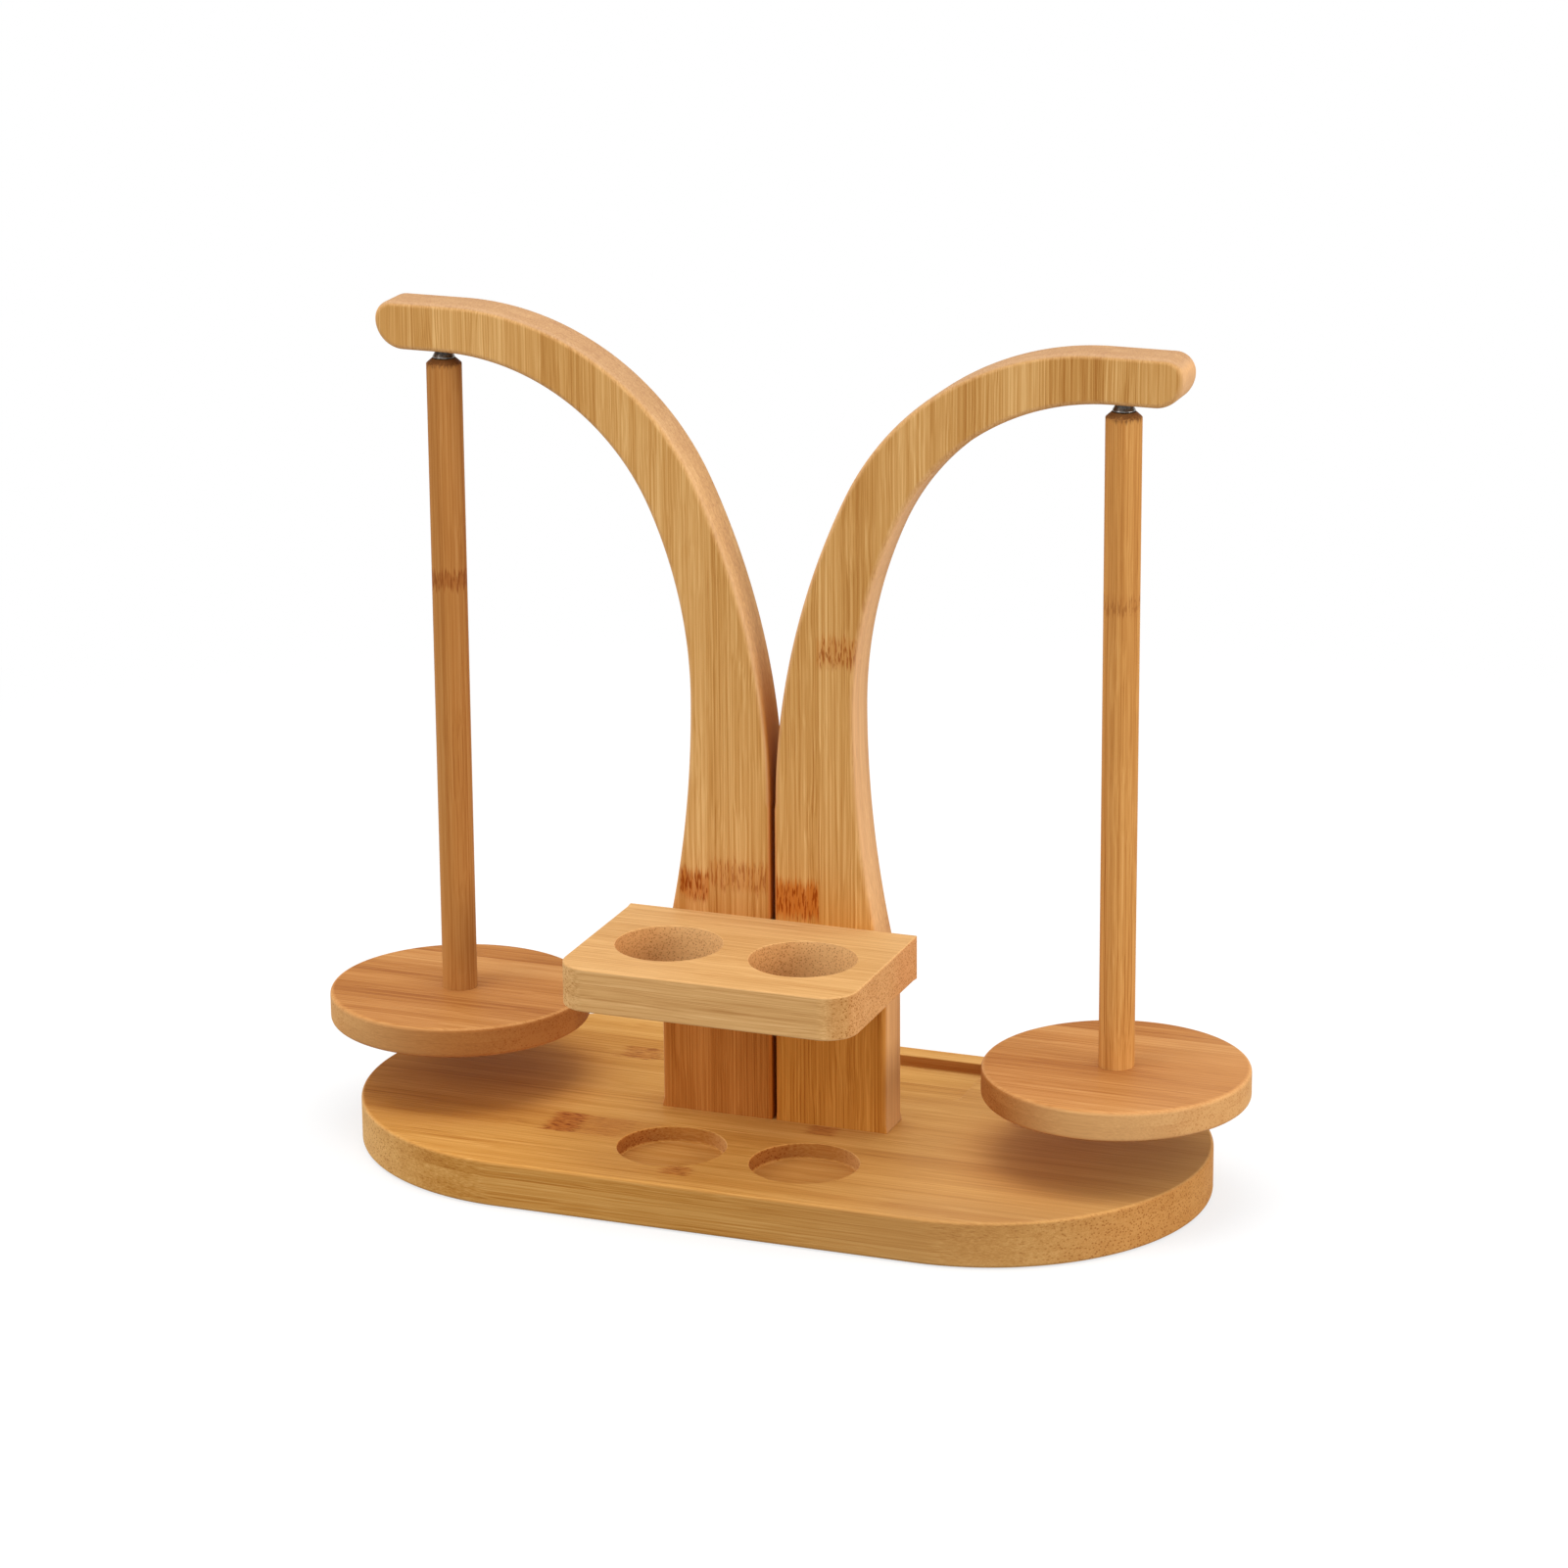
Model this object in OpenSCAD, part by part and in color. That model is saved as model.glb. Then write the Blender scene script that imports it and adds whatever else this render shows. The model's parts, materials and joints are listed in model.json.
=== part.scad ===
// Yarn holder: a bamboo stand with two hanging spindles, a tool shelf and a notions tray.
// Origin: middle of the underside of the base. X runs along the base, Y to the back, Z up.

/* [Base board] */
// Length of the base, over its round ends
base_length = 300; // [280:1:340]
// Width of the base, which is also the diameter of its ends
base_width = 152; // [140:1:190]
// Thickness of the base board
base_thickness = 16; // [14:0.5:24]
// Length of the notions tray cut in the top behind the arms
tray_length = 106; // [60:1:140]
// Front to back width of the tray
tray_width = 37; // [20:1:42]
// Depth of the tray
tray_depth = 4.5; // [4.5:0.5:8]
// Wood left between the tray and the back edge of the base
tray_rim = 8.5; // [5:0.5:20]
// Radius of the tray's corners
tray_corner_r = 3; // [1:0.5:8]

/* [Tool shelf] */
// Width of the shelf
shelf_width = 103; // [96:1:120]
// Thickness of the shelf board
shelf_thickness = 15; // [12:0.5:20]
// Height of the shelf's underside over the base
shelf_height = 57; // [40:1:80]
// Radius of the shelf's two front corners
shelf_corner_r = 11; // [4:0.5:16]
// Diameter of the tool holes in the shelf
hole_d = 36; // [25:0.5:40]
// Diameter of the wells in the base, under the tool holes
well_d = 37; // [25:0.5:40]
// Distance between the two tool holes, centre to centre
well_spacing = 47.5; // [44:0.5:54]
// Distance of the tool holes from the front face of the arms
well_reach = 34.5; // [32:0.5:40]
// Depth of the wells in the base
well_depth = 5.5; // [3:0.5:8]

/* [Arms] */
// Thickness of an arm, front to back
arm_thickness = 15; // [13:0.5:20]
// Gap between the two arms
arm_gap = 1.5; // [0.5:0.1:4]
// Height of the arms over the base
arm_height = 274.5; // [250:0.5:320]
// Width of an arm's foot
arm_foot_width = 40; // [36:0.5:48]
// Height over the base where an arm starts to narrow
arm_shoulder_height = 54; // [30:1:70]
// Width of an arm at its waist, its narrowest place low down
arm_waist_width = 28.5; // [22:0.5:34]
// Height of the waist over the base
arm_waist_height = 146.5; // [125:0.5:165]
// Height over the base where the two arms begin to part
arm_part_height = 110.5; // [80:0.5:130]
// Depth of the overhang at its end
overhang_depth = 16.5; // [14:0.5:22]
// Length of the flat underside at the end of the overhang
overhang_flat = 24; // [20:0.5:34]
// Length of the flat top at the end of the overhang
overhang_top_flat = 28; // [20:0.5:40]
// Distance from a spindle's axis to the end of its arm
overhang_end = 22; // [16:0.5:30]
// Radius of the upper corner of the overhang's round end
tip_upper_r = 6.5; // [3:0.5:10]
// Lean of the inner edge, from upright, where its two arcs meet
inner_lean = 24.5; // [18:0.5:32]
// Lean of the outer edge, from upright, where its two arcs meet
outer_lean = 25.8; // [18:0.1:32]

/* [Spindles] */
// Distance between the two spindle axes
spindle_spacing = 238; // [220:1:280]
// Diameter of a spindle rod
rod_d = 12; // [11:0.5:16]
// Height of the bevel on top of a rod
rod_bevel_height = 1.3; // [0.5:0.1:3]
// Diameter of a plate
plate_d = 90; // [60:1:110]
// Thickness of a plate
plate_thickness = 10.5; // [9:0.5:15]
// Radius on the edges of a plate
plate_edge_r = 1.5; // [0.5:0.1:3]
// Gap between a plate and the base
plate_gap = 21.5; // [12:0.5:35]
// Diameter of the tenon on the foot of a rod
tenon_d = 8; // [6:0.5:10]
// Length of the tenon, which fills a socket in the plate
tenon_length = 5; // [3:0.5:7]

/* [Swivels] */
// Diameter of the steel tip where it meets the magnet
tip_top_d = 5; // [4:0.1:7]
// Diameter of the steel tip where it meets the rod
tip_base_d = 8; // [7.5:0.1:9]
// Height of the steel tip
tip_height = 2.7; // [2:0.1:6]
// Diameter of the swivel pin's shank
shank_d = 3; // [2.5:0.1:4]
// Diameter of the head that holds the pin in its bush
pin_head_d = 5.4; // [4.8:0.1:6]
// Thickness of that head
pin_head_thickness = 1.5; // [1:0.1:3]
// Outside diameter of the bush in the rod
bush_d = 7; // [6.2:0.1:8]
// Length of the bush
bush_length = 8; // [5:0.5:14]
// Diameter of the magnet
magnet_d = 8; // [6:0.5:9]
// Thickness of the magnet
magnet_thickness = 3.5; // [2:0.5:6]
// Wall and floor of the steel cup round the magnet
cup_wall = 1; // [0.6:0.1:1.5]

/* [Screws] */
// Diameter of the screws that hold the arms
arm_screw_d = 4.5; // [3.5:0.1:6]
// Length of the screws that hold the arms
arm_screw_length = 40; // [30:1:55]
// Distance between the two screws of one arm
arm_screw_pitch = 20; // [14:0.5:24]
// Diameter of the screws that hold the shelf
shelf_screw_d = 4; // [3:0.1:5]
// Length of the screws that hold the shelf
shelf_screw_length = 27; // [22:0.5:28]
// Distance between the two shelf screws of one arm
shelf_screw_pitch = 20; // [14:0.5:22]
// Diameter of the screw that holds a plate to its rod
plate_screw_d = 4; // [3:0.1:5]
// Length of that screw
plate_screw_length = 28; // [20:1:40]
// How far every screw head lies below the wood around it
head_recess = 0.5; // [0.2:0.1:1.5]

/* [Clearances] */
// Gap between the steel tip and the magnet
magnet_gap = 0.3; // [0.2:0.05:0.6]
// Gap between the steel tip and the top of the rod
tip_gap = 0.2; // [0.1:0.05:0.5]
// Running gap round the shank in the bush, on the radius
shank_clearance = 0.05; // [0.02:0.01:0.1]
// Gap round parts that are glued, pressed or screwed into wood, on the radius
seat_clearance = 0.05; // [0.02:0.01:0.2]
// Gap between the bush and the head that carries it
thrust_gap = 0.05; // [0.02:0.01:0.2]
// Room under the swivel pin in the rod
pin_room = 1; // [0.5:0.1:3]

/* [Hidden] */

$fn = 96;

// Straight steps that make up one arc of an arm's edge
arc_steps = 20;
// How far a cutter runs past the face that it opens
cut_over = 1;

// Sides of the stand
left = -1;
right = 1;

// Heights
base_top = base_thickness;
shelf_under = base_top + shelf_height;
overhang_under = base_top + arm_height - overhang_depth;
plate_under = base_top + plate_gap;
plate_top = plate_under + plate_thickness;
pin_top = overhang_under - magnet_gap;
tip_under = pin_top - tip_height;
rod_top = tip_under - tip_gap;
tenon_foot = plate_top - tenon_length;
bush_under = rod_top - bush_length;
pin_head_top = bush_under - thrust_gap;
pin_foot = pin_head_top - pin_head_thickness;

// Places along the base
spindle_x = spindle_spacing / 2;
arm_end = spindle_x + overhang_end;
arm_side = arm_gap / 2;
foot_edge = arm_side + arm_foot_width;
waist_edge = arm_side + arm_waist_width;

// Places from front to back
arm_face = arm_thickness / 2;
shelf_front = base_width / 2;
shelf_depth = shelf_front - arm_face;
well_y = -arm_face - well_reach;
tray_back = base_width / 2 - tray_rim;
tray_middle = tray_back - tray_width / 2;

// The bevel of the rod ends level with the steel tip
rod_bevel_width = (rod_d - tip_base_d) / 2;
// A cup that holds the magnet flush with its mouth
cup_d = magnet_d + 2 * cup_wall + 2 * seat_clearance;
cup_depth = magnet_thickness + cup_wall;

// Proportions of a countersunk screw
head_over_shank = 2;
cross_width_share = 0.2;
cross_length_share = 0.62;
cross_depth_share = 0.3;
point_share = 1.2;

// Colours
bamboo = "BurlyWood";
bamboo_dark = "Peru";
steel = "Silver";
brass = "DarkGoldenrod";

// Radius of the first of two arcs that turn an edge from upright to level
// over dx sideways and dz up, when they meet at this lean from upright.
function first_r(dx, dz, lean) =
    (dz * cos(lean) - dx * (1 - sin(lean))) / (sin(lean) + cos(lean) - 1);

// Radius of the second of those arcs
function second_r(dx, dz, lean) =
    (dx * sin(lean) - dz * (1 - cos(lean))) / (sin(lean) + cos(lean) - 1);

// Points of an arc that starts at p and turns outward between two leans from upright
function arc(p, r, lean0, lean1) = [
    for (i = [0 : arc_steps])
    let (lean = lean0 + (lean1 - lean0) * i / arc_steps)
    p + r * [cos(lean0) - cos(lean), sin(lean) - sin(lean0)]
];

// Points of an edge that leaves p upright and reaches q level, in two arcs
function bend(p, q, lean) =
    let (d = q - p)
    let (low = arc(p, first_r(d.x, d.y, lean), 0, lean))
    let (high = arc(low[arc_steps], second_r(d.x, d.y, lean), lean, 90))
    concat(low, [for (i = [1 : arc_steps]) high[i]]);

// Points of a quarter circle round c, from one angle to another
function quarter(c, r, a0, a1) = [
    for (i = [0 : arc_steps])
    let (a = a0 + (a1 - a0) * i / arc_steps)
    c + r * [cos(a), sin(a)]
];

// Points from the waist down to the shoulder, one arc that is upright at the waist
function flare(waist, shoulder) =
    let (dx = shoulder.x - waist.x)
    let (dz = waist.y - shoulder.y)
    let (r = (dx * dx + dz * dz) / (2 * dx))
    let (sweep = asin(dz / r))
    [
        for (i = [0 : arc_steps])
        let (a = sweep * i / arc_steps)
        waist + r * [1 - cos(a), -sin(a)]
    ];

function backwards(points) = [for (i = [len(points) - 1 : -1 : 0]) points[i]];

// Front view of the right arm, with its foot on the X axis
module arm_outline() {
    level = arm_height - overhang_depth;
    tip_lower_r = overhang_depth - tip_upper_r;
    outer = bend([arm_side, arm_part_height], [arm_end - overhang_top_flat, arm_height], outer_lean);
    tip_top = quarter([arm_end - tip_upper_r, arm_height - tip_upper_r], tip_upper_r, 90, 0);
    tip_low = quarter([arm_end - tip_lower_r, level + tip_lower_r], tip_lower_r, 0, -90);
    waist = [waist_edge, arm_waist_height];
    inner = backwards(bend(waist, [arm_end - overhang_flat, level], inner_lean));
    foot = flare(waist, [foot_edge, arm_shoulder_height]);
    polygon(concat(
        [[arm_side, 0]], outer, tip_top, [for (i = [1 : arc_steps]) tip_low[i]],
        inner, [for (i = [1 : arc_steps]) foot[i]], [[foot_edge, 0]]
    ));
}

// Countersunk wood screw that points up, with the flat of its head at z = 0
module wood_screw(d, length) {
    head_d = d * head_over_shank;
    head_height = (head_d - d) / 2;
    point = d * point_share;
    difference() {
        union() {
            cylinder(d1 = head_d, d2 = d, h = head_height);
            cylinder(d = d, h = length - point);
            translate([0, 0, length - point])
                cylinder(d1 = d, d2 = 0, h = point);
        }
        for (turn = [0, 90])
            rotate(turn)
                translate([0, 0, head_d * cross_depth_share / 2 - cut_over / 2])
                    cube([
                        head_d * cross_length_share,
                        head_d * cross_width_share,
                        head_d * cross_depth_share + cut_over
                    ], center = true);
    }
}

// Room for a wood_screw and for the recess over its head
module screw_room(d, length) {
    grown_d = d + 2 * seat_clearance;
    head_d = d * head_over_shank + 2 * seat_clearance;
    translate([0, 0, -head_recess - cut_over])
        cylinder(d = head_d, h = head_recess + cut_over);
    cylinder(d1 = head_d, d2 = grown_d, h = (head_d - grown_d) / 2);
    cylinder(d = grown_d, h = length + seat_clearance);
}

// Places its children under the two screws of each arm
module at_arm_screws() {
    middle = arm_side + arm_foot_width / 2;
    for (side = [left, right])
        for (step = [-0.5, 0.5])
            translate([side * (middle + step * arm_screw_pitch), 0, head_recess])
                children();
}

// Places its children behind the two shelf screws of each arm, pointing forward
module at_shelf_screws() {
    middle = arm_side + arm_foot_width / 2;
    for (side = [left, right])
        for (step = [-0.5, 0.5])
            translate([
                side * (middle + step * shelf_screw_pitch),
                arm_face - head_recess,
                shelf_under + shelf_thickness / 2
            ])
                rotate([90, 0, 0])
                    children();
}

// Places its children on the axes of the tool holes
module at_wells() {
    for (side = [left, right])
        translate([side * well_spacing / 2, well_y, 0])
            children();
}

module at_spindle(side) {
    translate([side * spindle_x, 0, 0])
        children();
}

module base_board() {
    ends = base_length - base_width;
    color(bamboo)
        difference() {
            linear_extrude(base_thickness)
                union() {
                    square([ends, base_width], center = true);
                    for (side = [left, right])
                        translate([side * ends / 2, 0])
                            circle(d = base_width);
                }
            at_wells()
                translate([0, 0, base_top - well_depth])
                    cylinder(d = well_d, h = well_depth + cut_over);
            translate([0, tray_middle, base_top - tray_depth])
                linear_extrude(tray_depth + cut_over)
                    rounded_plan(tray_length, tray_width, tray_corner_r);
            at_arm_screws()
                screw_room(arm_screw_d, arm_screw_length);
        }
}

// A rectangle with four round corners
module rounded_plan(length, width, r) {
    square([length - 2 * r, width], center = true);
    square([length, width - 2 * r], center = true);
    for (x = [-1, 1])
        for (y = [-1, 1])
            translate([x * (length / 2 - r), y * (width / 2 - r)])
                circle(r = r);
}

// One arm, drilled for its screws and for the cup of its magnet
module arm(side) {
    color(bamboo)
        difference() {
            translate([0, 0, base_top])
                mirror([side == left ? 1 : 0, 0, 0])
                    rotate([90, 0, 0])
                        linear_extrude(arm_thickness, center = true)
                            arm_outline();
            at_arm_screws()
                screw_room(arm_screw_d, arm_screw_length);
            at_shelf_screws()
                screw_room(shelf_screw_d, shelf_screw_length);
            at_spindle(side)
                translate([0, 0, overhang_under - cut_over])
                    cylinder(d = cup_d + 2 * seat_clearance, h = cup_depth + seat_clearance + cut_over);
        }
}

module left_arm() {
    arm(left);
}

module right_arm() {
    arm(right);
}

module arm_screws() {
    color(steel)
        at_arm_screws()
            wood_screw(arm_screw_d, arm_screw_length);
}

module tool_shelf() {
    color(bamboo)
        difference() {
            translate([0, 0, shelf_under])
                linear_extrude(shelf_thickness)
                    shelf_plan();
            at_wells()
                translate([0, 0, shelf_under - cut_over])
                    cylinder(d = hole_d, h = shelf_thickness + 2 * cut_over);
            at_shelf_screws()
                screw_room(shelf_screw_d, shelf_screw_length);
        }
}

// The shelf from above: square against the arms, round at its two front corners
module shelf_plan() {
    translate([-shelf_width / 2, -shelf_front + shelf_corner_r])
        square([shelf_width, shelf_depth - shelf_corner_r]);
    translate([-shelf_width / 2 + shelf_corner_r, -shelf_front])
        square([shelf_width - 2 * shelf_corner_r, shelf_depth]);
    for (side = [left, right])
        translate([side * (shelf_width / 2 - shelf_corner_r), -shelf_front + shelf_corner_r])
            circle(r = shelf_corner_r);
}

module shelf_screws() {
    color(steel)
        at_shelf_screws()
            wood_screw(shelf_screw_d, shelf_screw_length);
}

// Steel cup, open downward, that holds the magnet in the arm
module magnet_cup(side) {
    color(steel)
        at_spindle(side)
            translate([0, 0, overhang_under])
                difference() {
                    cylinder(d = cup_d, h = cup_depth);
                    translate([0, 0, -cut_over])
                        cylinder(d = magnet_d + 2 * seat_clearance, h = magnet_thickness + cut_over);
                }
}

module magnet(side) {
    color("DimGray")
        at_spindle(side)
            translate([0, 0, overhang_under])
                cylinder(d = magnet_d, h = magnet_thickness);
}

// Turned pin: a cone that clings to the magnet, a shank, and a head under the bush
module swivel_pin(side) {
    color(steel)
        at_spindle(side)
            rotate_extrude()
                polygon([
                    [0, pin_foot],
                    [pin_head_d / 2, pin_foot],
                    [pin_head_d / 2, pin_head_top],
                    [shank_d / 2, pin_head_top],
                    [shank_d / 2, tip_under],
                    [tip_base_d / 2, tip_under],
                    [tip_top_d / 2, pin_top],
                    [0, pin_top]
                ]);
}

// Bush that is pressed into the rod and turns on the shank
module swivel_bush(side) {
    color(brass)
        at_spindle(side)
            translate([0, 0, bush_under])
                difference() {
                    cylinder(d = bush_d, h = bush_length);
                    translate([0, 0, -cut_over])
                        cylinder(d = shank_d + 2 * shank_clearance, h = bush_length + 2 * cut_over);
                }
}

module spindle_rod(side) {
    room_foot = pin_foot - pin_room;
    color(bamboo_dark)
        at_spindle(side)
            difference() {
                union() {
                    translate([0, 0, tenon_foot])
                        cylinder(d = tenon_d, h = tenon_length);
                    translate([0, 0, plate_top])
                        cylinder(d = rod_d, h = rod_top - rod_bevel_height - plate_top);
                    translate([0, 0, rod_top - rod_bevel_height])
                        cylinder(d1 = rod_d, d2 = rod_d - 2 * rod_bevel_width, h = rod_bevel_height);
                }
                translate([0, 0, room_foot])
                    cylinder(d = bush_d + 2 * seat_clearance, h = rod_top - room_foot + cut_over);
                plate_screw_place()
                    screw_room(plate_screw_d, plate_screw_length);
            }
}

// Places its children at the head of a plate's screw
module plate_screw_place() {
    translate([0, 0, plate_under + head_recess])
        children();
}

module plate(side) {
    color(bamboo_dark)
        at_spindle(side)
            difference() {
                translate([0, 0, plate_under])
                    rotate_extrude()
                        plate_profile();
                translate([0, 0, tenon_foot])
                    cylinder(d = tenon_d + 2 * seat_clearance, h = tenon_length + cut_over);
                plate_screw_place()
                    screw_room(plate_screw_d, plate_screw_length);
            }
}

// Half of a plate's section, with round edges
module plate_profile() {
    r = plate_d / 2;
    square([r - plate_edge_r, plate_thickness]);
    translate([0, plate_edge_r])
        square([r, plate_thickness - 2 * plate_edge_r]);
    for (z = [plate_edge_r, plate_thickness - plate_edge_r])
        translate([r - plate_edge_r, z])
            circle(r = plate_edge_r);
}

module plate_screw(side) {
    color(steel)
        at_spindle(side)
            plate_screw_place()
                wood_screw(plate_screw_d, plate_screw_length);
}

base_board();
left_arm();
right_arm();
arm_screws();
tool_shelf();
shelf_screws();
magnet_cup(left);  // left_magnet_cup
magnet(left);  // left_magnet
swivel_pin(left);  // left_swivel_pin
swivel_bush(left);  // left_swivel_bush
spindle_rod(left);  // left_spindle_rod
plate(left);  // left_plate
plate_screw(left);  // left_plate_screw
magnet_cup(right);  // right_magnet_cup
magnet(right);  // right_magnet
swivel_pin(right);  // right_swivel_pin
swivel_bush(right);  // right_swivel_bush
spindle_rod(right);  // right_spindle_rod
plate(right);  // right_plate
plate_screw(right);  // right_plate_screw
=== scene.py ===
# %% [markdown]
# A bamboo yarn holder
#
# The holder is a long base with round ends, two curved arms that stand side by side on it, a small shelf
# with two tool holes in front of the arms, and two spindles that hang from magnets under the ends of the
# arms. Nearly all of it is pressed bamboo. So this lesson is about two things: boards whose sawn edges were
# rounded over, and grain that runs through a board in one direction, as streaks on its faces and as dots on
# its ends. The measured solids are loaded first, and every piece is fitted to them. Sizes are in
# millimetres, as a joiner writes them, and become metres only when a mesh is made.

# %% Load the measured solids
import json

import bpy
import numpy as np
from mathutils import Matrix, Vector
from mathutils.geometry import delaunay_2d_cdt

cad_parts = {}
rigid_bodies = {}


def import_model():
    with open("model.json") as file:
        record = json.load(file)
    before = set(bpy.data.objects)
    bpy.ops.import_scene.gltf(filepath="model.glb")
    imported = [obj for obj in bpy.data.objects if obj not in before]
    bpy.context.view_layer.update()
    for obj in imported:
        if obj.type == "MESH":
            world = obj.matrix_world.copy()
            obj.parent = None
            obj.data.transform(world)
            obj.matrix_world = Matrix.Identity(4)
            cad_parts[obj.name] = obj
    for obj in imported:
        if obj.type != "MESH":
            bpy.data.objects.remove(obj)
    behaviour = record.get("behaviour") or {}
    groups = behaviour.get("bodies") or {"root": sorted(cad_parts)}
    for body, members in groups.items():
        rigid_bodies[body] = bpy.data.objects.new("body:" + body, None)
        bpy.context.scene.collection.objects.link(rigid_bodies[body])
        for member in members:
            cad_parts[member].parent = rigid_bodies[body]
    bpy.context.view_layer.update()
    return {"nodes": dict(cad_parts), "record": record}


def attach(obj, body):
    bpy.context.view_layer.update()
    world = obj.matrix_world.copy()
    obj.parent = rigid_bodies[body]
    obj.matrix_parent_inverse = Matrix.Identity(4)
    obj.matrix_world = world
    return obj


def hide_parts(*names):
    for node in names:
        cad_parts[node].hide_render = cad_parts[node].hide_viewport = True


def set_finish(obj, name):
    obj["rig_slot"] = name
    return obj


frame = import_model()
MM = 0.001
SIDES = {"left": -1.0, "right": 1.0}

# %% [markdown]
# Outlines
#
# A board is drawn by its outline first. A sharp corner of a drawing is never sharp in wood, so corners are
# replaced by arcs that touch both sides. A bevel could do that later, but an arc that is worked out keeps
# its exact radius. All the corners are worked out at once, as rows of one array. A hole's outline runs the
# other way round, so that "to the right of the line" always means out of the wood.

# %% Arcs and circles
def rounded(corners, radii, steps, closed=True):
    """An outline with arcs for corners.

    With a and b the directions from a corner to its neighbours, the arc's centre lies on the line that halves
    the corner, r / sin(half the angle) away, and the arc's points turn evenly from one touching place to the
    other. An open line keeps its first and last point.
    """
    p = np.asarray(corners, float)
    r = np.broadcast_to(np.asarray(radii, float), len(p))[:, None]
    a = np.roll(p, 1, 0) - p
    b = np.roll(p, -1, 0) - p
    a /= np.linalg.norm(a, axis=1, keepdims=True)
    b /= np.linalg.norm(b, axis=1, keepdims=True)
    half = np.arccos(np.clip((a * b).sum(1, keepdims=True), -1, 1)) / 2
    half_way = (a + b) / np.linalg.norm(a + b, axis=1, keepdims=True)
    centre = p + half_way * r / np.sin(half)
    start = p + a * r / np.tan(half) - centre
    end = p + b * r / np.tan(half) - centre
    sweep = np.pi - 2 * half
    k = np.linspace(0, 1, steps + 1)[None, :]
    from_start = (np.sin((1 - k) * sweep) / np.sin(sweep))[..., None]
    from_end = (np.sin(k * sweep) / np.sin(sweep))[..., None]
    arcs = centre[:, None] + from_start * start[:, None] + from_end * end[:, None]
    if closed:
        return arcs.reshape(-1, 2)
    return np.concatenate([p[:1], arcs[1:-1].reshape(-1, 2), p[-1:]])


def circle_part(centre, r, degrees_from, degrees_to, steps):
    """Points of a circle round centre between two angles: centre + r (cos, sin)."""
    angle = np.radians(np.linspace(degrees_from, degrees_to, steps + 1))
    return np.asarray(centre, float) + r * np.stack([np.cos(angle), np.sin(angle)], 1)


def hole_outline(centre, r, steps=96):
    """A full circle that runs clockwise, as every hole does."""
    return circle_part(centre, r, 360, 0, steps)[:-1]


def sideways(outline):
    """The unit direction out of the wood at each point: the tangent between its neighbours, turned right."""
    tangent = np.roll(outline, -1, 0) - np.roll(outline, 1, 0)
    out = np.stack([tangent[:, 1], -tangent[:, 0]], 1)
    return out / np.linalg.norm(out, axis=1, keepdims=True)


print("points round a hole:", len(hole_outline([0, 0], 1.0)))

# %% [markdown]
# Edges
#
# A sawn edge is rounded over with a router, then sanded. A Bevel modifier could do that, but its width is
# the same all along. Here the edge's section is a wall with a quarter circle at each face, and a well or
# tray also has a small hollow at its floor. A section is kept as rows of six numbers, and one function
# carries it round any outline. The easing runs out where one board stands on another, because there the
# joint in the real piece is a crisp line. `FADE` lists the distances from a joint at which an outline gets
# more points for that.

# %% Sections of edges
TURN = np.radians(np.linspace(0, 90, 7))
FADE = np.array([0.8, 1.6, 2.4, 3.2])
CRISP = 0.3


def section(height, lift, inset, reach, side, up):
    """Rows of height, lift per ease, inset per ease, reach, and the normal's two parts, sideways and up."""
    columns = np.broadcast_arrays(height, lift, inset, reach, side, up)
    return np.stack([np.asarray(c, float) for c in columns], -1).reshape(-1, 6)


def over_upper_edge(z):
    """From the wall over the round to a face at height z that looks up: a quarter circle of radius ease."""
    t = TURN[::-1]
    return section(z, np.cos(t) - 1, 1 - np.sin(t), 0, np.sin(t), np.cos(t))


def over_lower_edge(z):
    """From a face at height z that looks down, over the round to the wall."""
    return section(z, 1 - np.cos(TURN), 1 - np.sin(TURN), 0, np.sin(TURN), -np.cos(TURN))


def board_edge(low, high):
    """The whole edge of a board, from its lower face to its upper one."""
    return np.concatenate([over_lower_edge(low), over_upper_edge(high)])


def off_the_floor(z, r):
    """From a floor at height z up a small hollow of radius r to the wall of a well."""
    return section(z + r * (1 - np.cos(TURN)), 0, 0, r * (np.sin(TURN) - 1), np.sin(TURN), np.cos(TURN))


def runs_out(distance):
    """The share of an easing at this distance from a joint: it grows from almost nothing to 1."""
    return np.clip(distance / FADE[-1], 0.04, 1)


print("rows in a board's edge:", len(board_edge(0.0, 1.0)))

# %% [markdown]
# Gathering a surface
#
# A board has several smooth patches: its wall, its two faces, the walls and floors of its holes. Each patch
# knows its own exact normals, so a round edge shades as a round even with few faces. `Shell` gathers the
# patches. The flat faces are filled by a constrained Delaunay triangulation, which copes with holes.

# %% The shell that gathers patches
INSIDE_ONLY, TOUCHING = 1, 1e-6


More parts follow.
